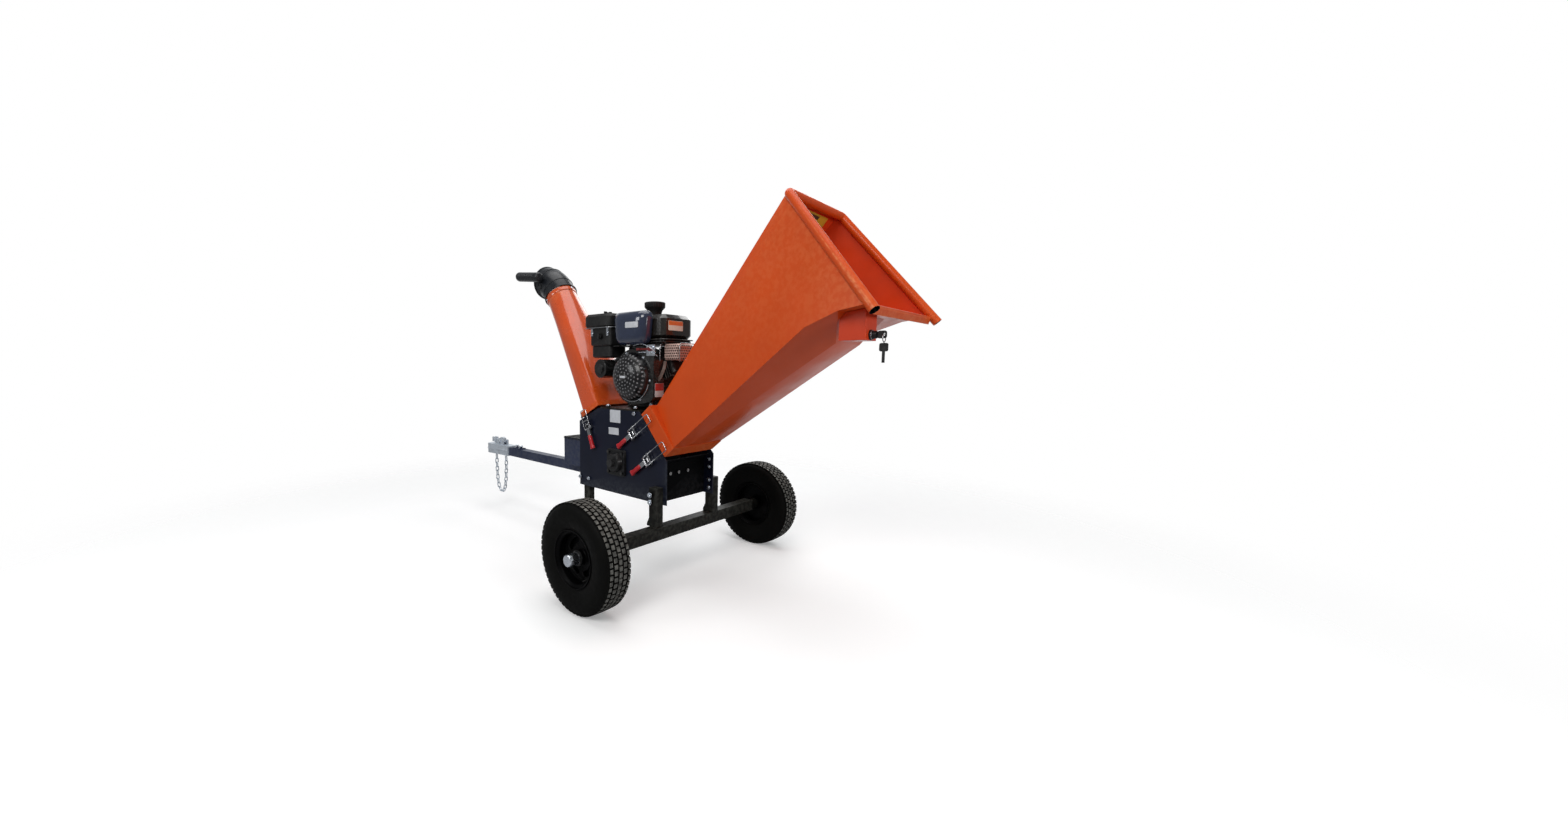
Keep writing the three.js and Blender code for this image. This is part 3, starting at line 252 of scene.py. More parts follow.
def surface(name, colour, rough, metal=0.0, coat=0.0, vary=0.12, scale=9, edge=None, grain=(900, 0.05),
            spread=0.08, dust=0.0, stretch=(1, 1, 1), specular=0.5):
    """A finish with cloudy colour and gloss, fine grain, worn edges and a little dust on faces that look up.
    """
    n = Nodes(name)
    cloud = n.noise(scale, 5, stretch=stretch)
    dark = tuple(c * (1 - vary) for c in colour)
    light = tuple(min(1, c * (1 + vary)) for c in colour)
    base = n.mix(n.ramp(cloud, [(0.32, 0.0), (0.68, 1.0)]), dark, light)
    if edge is not None:
        scuff = n.maths("MULTIPLY", n.edges(), n.ramp(n.noise(60, 3), [(0.4, 0.15), (0.62, 0.8)]))
        base = n.mix(scuff, base, edge)
    if dust:
        up = n.add("ShaderNodeSeparateXYZ")
        n.link(n.add("ShaderNodeNewGeometry").outputs["Normal"], up.inputs[0])
        settled = n.maths("MULTIPLY", n.ramp(up.outputs[2], [(0.5, 0.0), (1.0, dust)]),
                          n.ramp(n.noise(22, 4), [(0.3, 0.2), (0.7, 1.0)]))
        base = n.mix(settled, base, (0.42, 0.38, 0.32))
    n.link(base, n.bsdf.inputs["Base Color"])
    gloss = n.ramp(n.noise(scale * 2.3, 4),
                   [(0.3, max(0.02, rough - spread)), (0.7, min(1, rough + spread))])
    n.link(gloss, n.bsdf.inputs["Roughness"])
    even = (("Metallic", metal), ("Coat Weight", coat), ("Coat Roughness", 0.06),
            ("Specular IOR Level", specular))
    for socket, value in even:
        n.bsdf.inputs[socket].default_value = value
    n.link(n.bump(n.noise(grain[0], 2), grain[1], 0.0006), n.bsdf.inputs["Normal"])
    return n.mat


ORANGE = surface("orange_coat", (0.68, 0.076, 0.007), 0.36, coat=0.16, vary=0.05, scale=5,
                 edge=(0.86, 0.26, 0.09), grain=(650, 0.015), dust=0.02, specular=0.24)
# a darker, redder copy of the orange paint: painted shade for the trough's inner faces and the key box
ORANGE_SHADED = surface("orange_painted_shade", (0.68, 0.05, 0.006), 0.4, coat=0.2, vary=0.07, scale=6,
                    grain=(650, 0.02), specular=0.3)
DUCT_ORANGE = surface("duct_coat", (0.72, 0.085, 0.008), 0.24, coat=0.9, vary=0.05, scale=5,
                      edge=(0.86, 0.26, 0.09), grain=(650, 0.008), dust=0.01, specular=0.6)
CASING = surface("casing_coat", (0.0016, 0.0018, 0.0022), 0.5, vary=0.16, scale=7, edge=(0.05, 0.05, 0.055),
                 grain=(750, 0.04), specular=0.05)
# a lighter copy of the navy frame paint: the extra lightness is painted light, standing in for a cool lamp
# from the left
LIT_NAVY = surface("navy_coat_painted_light", (0.026, 0.034, 0.075), 0.38, coat=0.06, vary=0.14, scale=7,
               edge=(0.09, 0.1, 0.12), grain=(750, 0.04), dust=0.01, specular=0.2)
FRAME_BLUE = surface("frame_coat", (0.0075, 0.01, 0.0235), 0.36, coat=0.06, vary=0.16, scale=7,
                     edge=(0.08, 0.09, 0.1), grain=(750, 0.04), dust=0.01, specular=0.2)
LEG_BLACK = surface("leg_coat", (0.0042, 0.0042, 0.0035), 0.42, coat=0.04, vary=0.2, scale=8,
                    edge=(0.08, 0.08, 0.07), grain=(700, 0.05), dust=0.01, specular=0.12)
CAST = surface("cast_black", (0.006, 0.006, 0.007), 0.42, coat=0.15, vary=0.22, scale=18,
               edge=(0.1, 0.1, 0.1), grain=(320, 0.2), specular=0.3)
ENGINE = surface("engine_enamel", (0.006, 0.0055, 0.0055), 0.24, coat=0.5, vary=0.2, scale=14,
                 edge=(0.08, 0.08, 0.08), grain=(520, 0.03), specular=0.4)
ALLOY = surface("engine_alloy", (0.022, 0.021, 0.02), 0.45, metal=0.4, vary=0.3, scale=24,
                edge=(0.25, 0.25, 0.24), grain=(260, 0.25), specular=0.3)
PLASTIC = surface("moulded_black", (0.009, 0.009, 0.009), 0.46, vary=0.16, scale=16,
                  edge=(0.05, 0.05, 0.05), grain=(1100, 0.08), specular=0.32)
GLOSS = surface("gloss_blue_black", (0.024, 0.034, 0.07), 0.14, coat=0.8, vary=0.1, scale=10,
                grain=(500, 0.01), specular=0.5)
TANK = surface("tank_enamel", (0.009, 0.0075, 0.0065), 0.2, coat=0.6, vary=0.15, scale=12,
               edge=(0.07, 0.06, 0.05), grain=(600, 0.02), specular=0.4)
HOOD_BLACK = surface("hood_plastic", (0.012, 0.014, 0.018), 0.32, coat=0.12, vary=0.15, scale=9,
                     edge=(0.07, 0.07, 0.07), grain=(900, 0.05), specular=0.4)
ZINC = surface("bright_zinc", (0.72, 0.77, 0.84), 0.26, metal=1.0, vary=0.14, scale=34,
               edge=(0.88, 0.9, 0.93), grain=(420, 0.1), spread=0.12)
PALE_ZINC = surface("pale_zinc", (0.6, 0.66, 0.73), 0.34, metal=0.35, vary=0.16, scale=34,
                    edge=(0.85, 0.88, 0.92), grain=(420, 0.12), specular=0.5)
CHROME = surface("chrome", (0.5, 0.51, 0.53), 0.16, metal=1.0, vary=0.1, scale=40, grain=(500, 0.03),
                 spread=0.06)
STEEL = surface("bare_steel", (0.42, 0.42, 0.42), 0.36, metal=1.0, vary=0.18, scale=26,
                edge=(0.7, 0.7, 0.7), grain=(380, 0.12), stretch=(1, 6, 1))
RIM = surface("rim_coat", (0.0014, 0.0014, 0.0016), 0.4, vary=0.2, scale=15, edge=(0.04, 0.04, 0.04),
              grain=(600, 0.04), specular=0.06)
RUBBER = surface("tyre_rubber", (0.003, 0.003, 0.0026), 0.58, vary=0.22, scale=20, grain=(800, 0.1),
                 dust=0.01, specular=0.08)
# lighter grey for the tops of the tread blocks and their edges: partly dusty wear, partly painted highlight
TREAD_DUST_AND_HIGHLIGHT = surface("tyre_tread_dust_and_highlight", (0.062, 0.062, 0.058), 0.7, vary=0.3, scale=60, edge=(0.22, 0.22, 0.2),
                grain=(700, 0.18), dust=0.08, specular=0.25)
BELT = surface("belt_rubber", (0.01, 0.01, 0.01), 0.75, vary=0.2, scale=30, grain=(900, 0.2), specular=0.25)
RED = surface("red_grip", (0.5, 0.01, 0.018), 0.34, coat=0.2, vary=0.1, scale=30, edge=(0.7, 0.16, 0.15),
              grain=(800, 0.08), specular=0.35)
LEVER = surface("lever_red", (0.16, 0.012, 0.012), 0.36, coat=0.1, vary=0.1, scale=30, edge=(0.4, 0.1, 0.1),
                grain=(800, 0.08), specular=0.3)
LABEL = surface("pale_label", (0.62, 0.64, 0.68), 0.5, vary=0.08, scale=60, grain=(900, 0.03))


def perforated(name, base, hole, pitch, radius, centre, across, up, rough=0.35, metal=0.0, coat=0.0,
               rings=False):
    """A sheet pierced by a regular grid, or by rings, of round holes laid out on a plane through centre."""
    n = Nodes(name)
    shift = n.add("ShaderNodeVectorMath", operation="SUBTRACT")
    n.link(n.coords, shift.inputs[0])
    shift.inputs[1].default_value = centre

    def along(axis):
        node = n.add("ShaderNodeVectorMath", operation="DOT_PRODUCT")
        n.link(shift.outputs[0], node.inputs[0])
        node.inputs[1].default_value = axis
        return node.outputs["Value"]

    a, b = along(across), along(up)
    if rings:
        distance = n.maths("SQRT", n.maths("ADD", n.maths("MULTIPLY", a, a), n.maths("MULTIPLY", b, b)))
        turn = n.maths("ARCTAN2", b, a)
        lane = n.maths("DIVIDE", distance, pitch)
        ring_no = n.maths("FLOOR", lane)
        count = n.maths("FLOOR", n.maths("MULTIPLY", n.maths("ADD", ring_no, 0.5), 2 * pi * 0.82))
        along_ring = n.maths("DIVIDE", n.maths("MULTIPLY", turn, count), 2 * pi)
        step = n.maths("ADD", along_ring, n.maths("MULTIPLY", ring_no, 0.37))
        u = n.maths("SUBTRACT", n.maths("FRACT", n.maths("ADD", step, 64.0)), 0.5)
        v = n.maths("SUBTRACT", n.maths("FRACT", lane), 0.5)
    else:
        v_lane = n.maths("DIVIDE", b, pitch)
        row_no = n.maths("FLOOR", n.maths("ADD", v_lane, 512.0))
        odd = n.maths("MULTIPLY", n.maths("MODULO", row_no, 2.0), 0.5)
        u_lane = n.maths("ADD", n.maths("DIVIDE", a, pitch), odd)
        u = n.maths("SUBTRACT", n.maths("FRACT", n.maths("ADD", u_lane, 512.0)), 0.5)
        v = n.maths("SUBTRACT", n.maths("FRACT", n.maths("ADD", v_lane, 512.0)), 0.5)
    away = n.maths("SQRT", n.maths("ADD", n.maths("MULTIPLY", u, u), n.maths("MULTIPLY", v, v)))
    inside = n.ramp(away, [(radius - 0.04, 1.0), (radius + 0.04, 0.0)])
    cloud = n.mix(n.ramp(n.noise(40, 4), [(0.3, 0.0), (0.7, 1.0)]), tuple(c * 0.75 for c in base), base)
    n.link(n.mix(inside, cloud, hole), n.bsdf.inputs["Base Color"])
    n.link(n.mix(inside, (rough,) * 3, (0.9,) * 3), n.bsdf.inputs["Roughness"])
    n.bsdf.inputs["Metallic"].default_value = metal
    n.bsdf.inputs["Coat Weight"].default_value = coat
    n.link(n.bump(n.ramp(away, [(radius - 0.05, 0.0), (radius + 0.08, 1.0)]), 0.8, 0.0025),
           n.bsdf.inputs["Normal"])
    return n.mat


# ---- shapes

def piece(name, bm, mat, body, sharp=32, bevel=0.0, metres=False, replaces=(), mats=()):
    """Turns a bmesh in millimetres into an object that moves with a CAD body."""
    bmesh.ops.remove_doubles(bm, verts=bm.verts, dist=1e-6 if metres else 1e-3)
    bmesh.ops.recalc_face_normals(bm, faces=bm.faces)
    if not metres:
        move(bm, Matrix.Translation((OX, 0, 0)) @ Matrix.Scale(0.001, 4))
    for face in bm.faces:
        face.smooth = True
    for edge in bm.edges:
        edge.smooth = len(edge.link_faces) == 2 and edge.calc_face_angle(0) < sharp * RAD
    mesh = bpy.data.meshes.new(name)
    bm.to_mesh(mesh)
    bm.free()
    for m in (mat, *mats):
        mesh.materials.append(m)
    obj = bpy.data.objects.new(name, mesh)
    bpy.context.scene.collection.objects.link(obj)
    if bevel:
        mod = obj.modifiers.new("bevel", "BEVEL")
        mod.width, mod.segments = bevel, 2
        mod.limit_method, mod.angle_limit = "ANGLE", sharp * RAD
        mod.harden_normals = True
        mod.use_clamp_overlap = True
    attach(obj, body)
    if replaces:
        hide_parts(*replaces)


def dress(node, mat, bevel=1.0, sharp=32, inside=None, inside_of=None):
    """The CAD node's own shape with softened edges and a finish; bevel is in millimetres."""
    bm = bmesh.new()
    bm.from_mesh(frame["nodes"][node].data)
    bmesh.ops.remove_doubles(bm, verts=bm.verts, dist=2e-5)
    bmesh.ops.dissolve_limit(bm, angle_limit=1.2 * RAD, verts=bm.verts, edges=bm.edges)
    # faces that the test picks take the second finish; on the hopper that finish is painted shade
    if inside is not None:
        for face in bm.faces:
            if inside_of(face.calc_center_median(), face.normal):
                face.material_index = 1
    extra = (inside,) if inside else ()
    piece(node + "_look", bm, mat, NODE_BODY[node], sharp, bevel / 1000, True, (node,), extra)


def move(bm, matrix):
    bmesh.ops.transform(bm, matrix=matrix, verts=bm.verts)


def around(count):
    """Angles that share one turn evenly."""
    return [2 * pi * i / count for i in range(count)]


def quad_skin(bm, rings, caps=False):
    """Joins rings of points with quads, and closes the two ends if asked."""
    made = [[bm.verts.new(p) for p in ring] for ring in rings]
    for a, b in zip(made, made[1:]):
        count = len(a)
        for i in range(count):
            j = (i + 1) % count
            bm.faces.new((a[i], a[j], b[j], b[i]))
    if caps:
        bm.faces.new(made[0][::-1])
        bm.faces.new(made[-1])


def circle(centre, normal, radius, count, side=None):
    """Points on a circle round a line; side fixes where the first point lies."""
    normal = Vector(normal).normalized()
    side = Vector(side) if side is not None else normal.orthogonal()
    side = (side - normal * side.dot(normal)).normalized()
    other = normal.cross(side)
    return [Vector(centre) + radius * (cos(a) * side + sin(a) * other) for a in around(count)]


def rod(bm, a, b, radius, count=20, end=None, chamfer=0.0):
    """A round bar from a to b, with softened ends."""
    a, b = Vector(a), Vector(b)
    way = (b - a).normalized()
    end = radius if end is None else end
    side = way.orthogonal()
    stations = [(a + way * chamfer, radius), (b - way * chamfer, end)]
    if chamfer:
        stations = [(a, radius - chamfer), *stations, (b, end - chamfer)]
    quad_skin(bm, [circle(spot, way, size, count, side=side) for spot, size in stations], True)


def lathe_y(bm, profile, x, z, count=96, side=1, y0=0.0, closed=True):
    """A profile of (radius, y) pairs turned round a line along Y."""
    rings = []
    for r, y in profile:
        rings.append([Vector((x + r * cos(a), y0 + side * y, z + r * sin(a))) for a in around(count)])
    if closed:
        rings.append(rings[0])
    quad_skin(bm, rings)


def box(bm, x0, x1, y0, y1, z0, z1):
    """A block along the axes, in millimetres."""
    made = bmesh.ops.create_cube(bm, size=1)["verts"]
    middle = Matrix.Translation(((x0 + x1) / 2, (y0 + y1) / 2, (z0 + z1) / 2))
    place = middle @ Matrix.Diagonal((x1 - x0, y1 - y0, z1 - z0, 1))
    bmesh.ops.transform(bm, matrix=place, verts=made)


def hexagon(bm, point, way, size, height, washer=True):
    """A bolt head with a washer, standing on a face."""
    point, way = Vector(point), Vector(way).normalized()
    if washer:
        rod(bm, point - way * 0.5, point + way * 1.6, size * 1.35, 24, chamfer=0.4)
    start = point + way * (1.4 if washer else -0.5)
    rod(bm, start, point + way * (height - 1.2), size, 6)
    rod(bm, point + way * (height - 1.2), point + way * height, size * 0.86, 6, end=size * 0.8)


def frame_matrix(x, y, z, tilt):
    """A place with its X axis tilted up from level by so many degrees."""
    return Matrix.Translation((x, y, z)) @ Matrix.Rotation(-tilt * RAD, 4, "Y")


HOPPER = frame_matrix(-47.5, 0, 606.6, 39.8)
CHUTE = frame_matrix(-468, 0, 680, 28)


def plate2d(name, outlines, thickness, matrix, mat, body, bevel):
    """A flat piece cut to closed outlines; its face lies in the matrix's XY plane, in millimetres."""
    curve = bpy.data.curves.new(name + "_outline", "CURVE")
    curve.dimensions = "2D"
    curve.fill_mode = "BOTH"
    curve.extrude = max(thickness / 2 - bevel, 0.01)
    curve.bevel_depth = bevel
    curve.bevel_resolution = 1
    for points in outlines:
        spline = curve.splines.new("POLY")
        spline.points.add(len(points) - 1)
        for p, (x, y) in zip(spline.points, points):
            p.co = (x, y, 0, 1)
        spline.use_cyclic_u = True
    source = bpy.data.objects.new(name + "_source", curve)
    bpy.context.scene.collection.objects.link(source)
    bpy.context.view_layer.update()
    mesh = bpy.data.meshes.new_from_object(source.evaluated_get(bpy.context.evaluated_depsgraph_get()))
    bpy.data.objects.remove(source)
    bpy.data.curves.remove(curve)
    bm = bmesh.new()
    bm.from_mesh(mesh)
    bpy.data.meshes.remove(mesh)
    bmesh.ops.remove_doubles(bm, verts=bm.verts, dist=1e-3)
    move(bm, matrix)
    piece(name, bm, mat, body, 35)


def rounded(x0, x1, y0, y1, radius, steps=6):
    points = []
    for cx, cy, start in ((x1, y1, 0), (x0, y1, 90), (x0, y0, 180), (x1, y0, 270)):
        sx, sy = (-1 if cx == x1 else 1), (-1 if cy == y1 else 1)
        for i in range(steps + 1):
            a = (start + 90 * i / steps) * RAD
            points.append((cx + sx * radius + radius * cos(a), cy + sy * radius + radius * sin(a)))
    return points


def face_frame(origin, across, up):
    """A matrix whose X and Y lie in a face and whose Z stands out of it."""
    across, up = Vector(across).normalized(), Vector(up).normalized()
    up = (up - across * up.dot(across)).normalized()
    turn = Matrix((across, up, across.cross(up))).transposed().to_4x4()
    return Matrix.Translation(Vector(origin)) @ turn


def smooth_path(points, samples=12):
    """Catmull-Rom line through points."""
    pts = [Vector(p) for p in points]
    pts = [2 * pts[0] - pts[1]] + pts + [2 * pts[-1] - pts[-2]]
    out = []
    for i in range(1, len(pts) - 2):
        a, b, c, d = pts[i - 1:i + 3]
        for k in range(samples):
            t = k / samples
            square, cube = 2 * a - 5 * b + 4 * c - d, 3 * b - a - 3 * c + d
            out.append(0.5 * ((2 * b) + (c - a) * t + square * t * t + cube * t ** 3))
    return out + [pts[-2]]


def tube(bm, path, radius, count=12, closed=False):
    """A round wire along a path."""
    path = [Vector(p) for p in path]
    rings, side = [], None
    total = len(path)
    for i, p in enumerate(path):
        if closed:
            way = (path[(i + 1) % total] - path[i - 1]).normalized()
        else:
            way = (path[min(i + 1, total - 1)] - path[max(i - 1, 0)]).normalized()
        side = way.orthogonal() if side is None else (side - way * side.dot(way))
        side = side.normalized()
        rings.append(circle(p, way, radius, count, side=side))
    if closed:
        rings.append(rings[0])
    quad_skin(bm, rings, not closed)


# ---- wheels

WHEEL_R, WHEEL_Y = 206, 551       # radius of the tyre and distance of its middle plane from the row's axis


def tyre(which, side):
    """Road tyre with five ribs of blocks, shallow grooves between them and plain side walls."""
    bm = bmesh.new()
    pitches = 58
    phases = [(0.0, 0), (0.7, 0), (0.76, 1), (0.94, 1)]
    ribs = [(-47, -33, 0.0), (-28.5, -12, 0.5), (-8, 8, 0.0), (12, 28.5, 0.5), (33, 47, 0.0)]
    across = []
    for v0, v1, twist in ribs:
        across += [(v0, 0, twist), (v0 + 1.0, 1, twist), (v1 - 1.0, 1, twist), (v1, 0, twist)]
    wall = [(47, 195), (52, 190), (56, 180), (58.6, 166), (59, 152), (57.6, 136), (54.5, 122), (51, 114),
            (50.5, 110), (47, 106.2)]
    inner = [(36, 106.2), (38, 118), (45, 150), (44, 180), (36, 192), (0, 196)]
    line = [(-v, r) for v, r in reversed(inner[:-1])] + [(-v, r) for v, r in reversed(wall)]
    plain = [(v, r, r, 0.0) for v, r in line]
    tread = []
    for v, top, twist in across:
        crest = WHEEL_R - 1.8 * (v / 46) ** 2
        tread.append((v, crest - (0 if top else 6.5), crest - (5.5 if top else 6.5), twist))
    after = [(v, r, r, 0.0) for v, r in wall + inner]
    made = []
    for v, high, low, twist in plain + tread + after:
        points = []
        for pitch in range(pitches):
            for phase, notch in phases:
                a = 2 * pi * (pitch + phase + twist) / pitches
                r = low if notch else high
                points.append(Vector((r * cos(a), side * WHEEL_Y + v, WHEEL_R + r * sin(a))))
        made.append(points)
    made.append(made[0])
    quad_skin(bm, made)
    # block tops take the lighter tread finish, dusty wear plus painted highlight; grooves and walls keep the
    # dark rubber
    for face in bm.faces:
        middle = face.calc_center_median()
        if abs(middle.y - side * WHEEL_Y) < 47.2 and hypot(middle.x, middle.z - WHEEL_R) > 203:
            face.material_index = 1
    piece(f"tyre_{which}_look", bm, RUBBER, f"wheel_{which}", 30, replaces=(f"tyre_{which}",),
          mats=(TREAD_DUST_AND_HIGHLIGHT,))


def kidney(r0, r1, middle, half, steps=14):
    """A curved slot with round ends, as an outline."""
    rc, w = (r0 + r1) / 2, (r1 - r0) / 2
    points = []
    for i in range(steps + 1):
        a = middle - half + 2 * half * i / steps
        points.append((r1 * cos(a), r1 * sin(a)))
    for i in range(1, 8):
        a = middle + half
        t = a + pi * i / 8
        points.append((rc * cos(a) + w * cos(t), rc * sin(a) + w * sin(t)))
    for i in range(steps + 1):
        a = middle + half - 2 * half * i / steps
        points.append((r0 * cos(a), r0 * sin(a)))
    for i in range(1, 8):
        a = middle - half
        t = a + pi + pi * i / 8
        points.append((rc * cos(a) + w * cos(t), rc * sin(a) + w * sin(t)))
    return points


def ring2d(radius, count=96):
    return [(radius * cos(a), radius * sin(a)) for a in around(count)]


def wheel(which, side):
    """Tyre, slotted rim with rolled edges, hub nut on its collar, and valve stem."""
    tyre(which, side)
    body = f"wheel_{which}"
    y = WHEEL_Y * side
    bm = bmesh.new()
    barrel = [(84, 9), (90, 11), (93.5, 16), (94.5, 34), (97, 40), (103, 43.5), (105.5, 46), (107.5, 50),
              (106.5, 53.5), (103.5, 53), (101, 48), (97, 45.5), (92, 41), (90.8, 34), (90, 18),
              (88, 13.5), (84, 12)]
    lathe_y(bm, barrel, 0, WHEEL_R, 96, side, y)
    barrel_back = [(94.5, 10), (94.5, -34), (98, -40), (104, -44), (106, -50), (104, -52.5), (100, -47),
                   (92, -41), (91, -34), (91, 10)]
    lathe_y(bm, barrel_back, 0, WHEEL_R, 96, side, y)
    dish = [(13.2, 26), (25, 26), (27, 24.5), (27.5, 12), (29.5, 9.6), (46, 8.6), (46, 5.6), (24, 5.6),
            (24, -23), (13.2, -23)]
    lathe_y(bm, dish, 0, WHEEL_R, 64, side, y)
    web = [(42, -2), (92.4, -2), (92.4, -5), (42, -5), (30, 0), (26, 4), (26, 5.6), (42, 5.6)]
    lathe_y(bm, web, 0, WHEEL_R, 96, side, y)
    piece(f"rim_{which}_look", bm, RIM, body, 30, 0.0006, replaces=(f"rim_{which}",))
    slots = [kidney(51, 75, (45 + 90 * k) * RAD, 24 * RAD) for k in range(4)]
    turn = Matrix.Translation((0, y + side * 8.4, WHEEL_R)) @ Matrix.Rotation(90 * RAD, 4, "X")
    outlines = [ring2d(87), ring2d(40)[::-1], *slots]
    plate2d(f"rim_{which}_disc", outlines, 4, turn, RIM, body, 0.9)
    bm = bmesh.new()
    for k in range(4):
        outline = kidney(50.2, 75.8, (45 + 90 * k) * RAD, 24.4 * RAD)
        tube(bm, [(a, y + side * 10.4, WHEEL_R + b) for a, b in outline], 1.5, 8, closed=True)
    tube(bm, [(a, y + side * 10.4, WHEEL_R + b) for a, b in ring2d(80, 64)], 1.6, 8, closed=True)
    piece(f"rim_{which}_beads", bm, RIM, body, 50)

    bm = bmesh.new()
    nut = [(0, 76), (13, 76), (20.5, 74.2), (23, 70), (23, 34), (14, 34)]
    lathe_y(bm, nut, 0, WHEEL_R, 64, side, y, closed=False)
    piece(f"hub_nut_{which}_look", bm, ZINC, body, 32, 0.0004, replaces=(f"hub_nut_{which}",))
    bm = bmesh.new()
    lathe_y(bm,
            [(14, 34.2), (25, 34.2), (26, 33), (26, 31.2), (28, 30.6), (28.6, 29), (28, 26.5), (14, 26.5)],
            0, WHEEL_R, 48, side, y)
    piece(f"hub_collar_{which}", bm, CAST, body, 40)
    bm = bmesh.new()
    root, shoulder, tip = ((x, y + side * out, WHEEL_R - drop)
                           for x, out, drop in ((60, 12, 62), (56, 40, 66), (55, 46, 67)))
    rod(bm, root, shoulder, 3.4, 12, chamfer=1)
    rod(bm, shoulder, tip, 2.6, 12, chamfer=1)
    piece(f"valve_{which}", bm, PLASTIC, body, 40)


wheel("near", -1)
wheel("far", 1)

# ---- chassis, legs and tow gear

PLATE_BOLTS = [(-538, 362), (-472, 362), (-158, 690)]


def bolts(name, spots, way, size, height, mat=ZINC):
    """A row of bolt heads on one face of the chassis."""
    bm = bmesh.new()
    for spot in spots:
        hexagon(bm, spot, way, size, height)
    piece(name, bm, mat, "chassis", 30, 0.0004)


for name, mat, bevel in (
        ("axle_beam", LEG_BLACK, 1.6),
        ("frame_plate_near", FRAME_BLUE, 0.9), ("frame_plate_far", FRAME_BLUE, 0.9),
        ("drum_casing", CASING, 0.9), ("front_panel", FRAME_BLUE, 0.9), ("engine_deck", LEG_BLACK, 1.0),
        ("leg_near", LEG_BLACK, 2.4), ("leg_far", LEG_BLACK, 2.4), ("support_leg", LEG_BLACK, 1.6),
        # the tow bar and battery box take the lighter navy, which paints light on them
        ("tow_bar", LIT_NAVY, 2.6), ("battery_box", LIT_NAVY, 1.4), ("coupler_latch", PALE_ZINC, 2.4),
        ("bearing_near", CAST, 1.4), ("bearing_far", CAST, 1.4), ("hopper_hinge", CAST, 0.8),
        ("chute_hinge", CAST, 0.8), ("belt_guard", FRAME_BLUE, 2.2), ("drive_belt", BELT, 0.6),
        ("crank_pulley", CAST, 0.8), ("rotor_pulley", CAST, 0.8), ("rotor_shaft", CAST, 0.8),
        ("rotor_drum", CAST, 1.0), ("knife_a", STEEL, 0.5), ("knife_b", STEEL, 0.5)):
    dress(name, mat, bevel)

GUARD_FACE = 242                  # outer face of the belt guard
ROTOR, CRANK = (-270, 466), (-205, 846)


def guard_trim():
    """Four bolts on the guard's face, and louvres up the middle of its two pulleys."""
    spots = [(x, GUARD_FACE + 0.4, z) for x, z in ((-270, 368), (-366, 474), (-174, 450), (-205, 908))]
    bolts("guard_bolts", spots, (0, 1, 0), 6.5, 6)
    bm = bmesh.new()
    for step in range(7):
        z = 570 + step * 24
        middle = ROTOR[0] + (CRANK[0] - ROTOR[0]) * (z - ROTOR[1]) / (CRANK[1] - ROTOR[1])
        box(bm, middle - 40, middle + 40, GUARD_FACE - 1, GUARD_FACE + 3, z, z + 8)
    piece("guard_louvres", bm, FRAME_BLUE, "chassis", 30, 0.0014)


guard_trim()
bolts("near_bolt_faces", [(x, -158.6, z) for x, z in PLATE_BOLTS], (0, -1, 0), 6.5, 7.5)
bolts("far_bolt_faces", [(x, 158.6, z) for x, z in PLATE_BOLTS], (0, 1, 0), 7.5, 7.5)
bolts("far_inner_bolts", [(14, 141.6, z) for z in (480, 445, 385, 350)], (0, -1, 0), 7.5, 6)
for sign in (-1, 1):
    label = "near" if sign < 0 else "far"
    spots = [(-11 + sign * 8, sign * 198, z) for z in (336, 366)]
    bolts(f"leg_{label}_bolts", spots, (0, sign, 0), 8.5, 8)
bolts("casing_bolts", [(-13.4, y, 440) for y in (-80, -28, 31)], (1, 0, 0), 5.5, 4, STEEL)
bolts("deck_bolts", [(x, y, 712.2) for x in (-352, -168) for y in (-138, 138)], (0, 0, 1), 8.5, 7.5)
bolts("tow_bolts", [(x, 0, 400.6) for x in (-1384, -1340)], (0, 0, 1), 10, 8)


def coupler():
    """Ball coupler with a rib round its nose and sides, and the pivot of its latch."""
    dress("coupler_body", PALE_ZINC, 4.0)
    bm = bmesh.new()
    path = [(-1448, -31, 366), (-1520, -34, 366), (-1600, -39, 364)]
    path += [(-1655 + 45 * cos(a * RAD), 45 * sin(a * RAD), 364) for a in range(260, 99, -12)]
    path += [(-1600, 39, 364), (-1520, 34, 366), (-1448, 31, 366)]
    tube(bm, path, 2.6, 10)
    piece("coupler_rib", bm, PALE_ZINC, "chassis", 50)
    bm = bmesh.new()
    rod(bm, (-1555, -24, 414), (-1555, 24, 414), 5, 20, chamfer=1)
    hexagon(bm, (-1555, -24, 414), (0, -1, 0), 8, 6, False)
    hexagon(bm, (-1555, 24, 414), (0, 1, 0), 8, 6, False)
    piece("coupler_pivot", bm, PALE_ZINC, "chassis", 35, 0.0004)


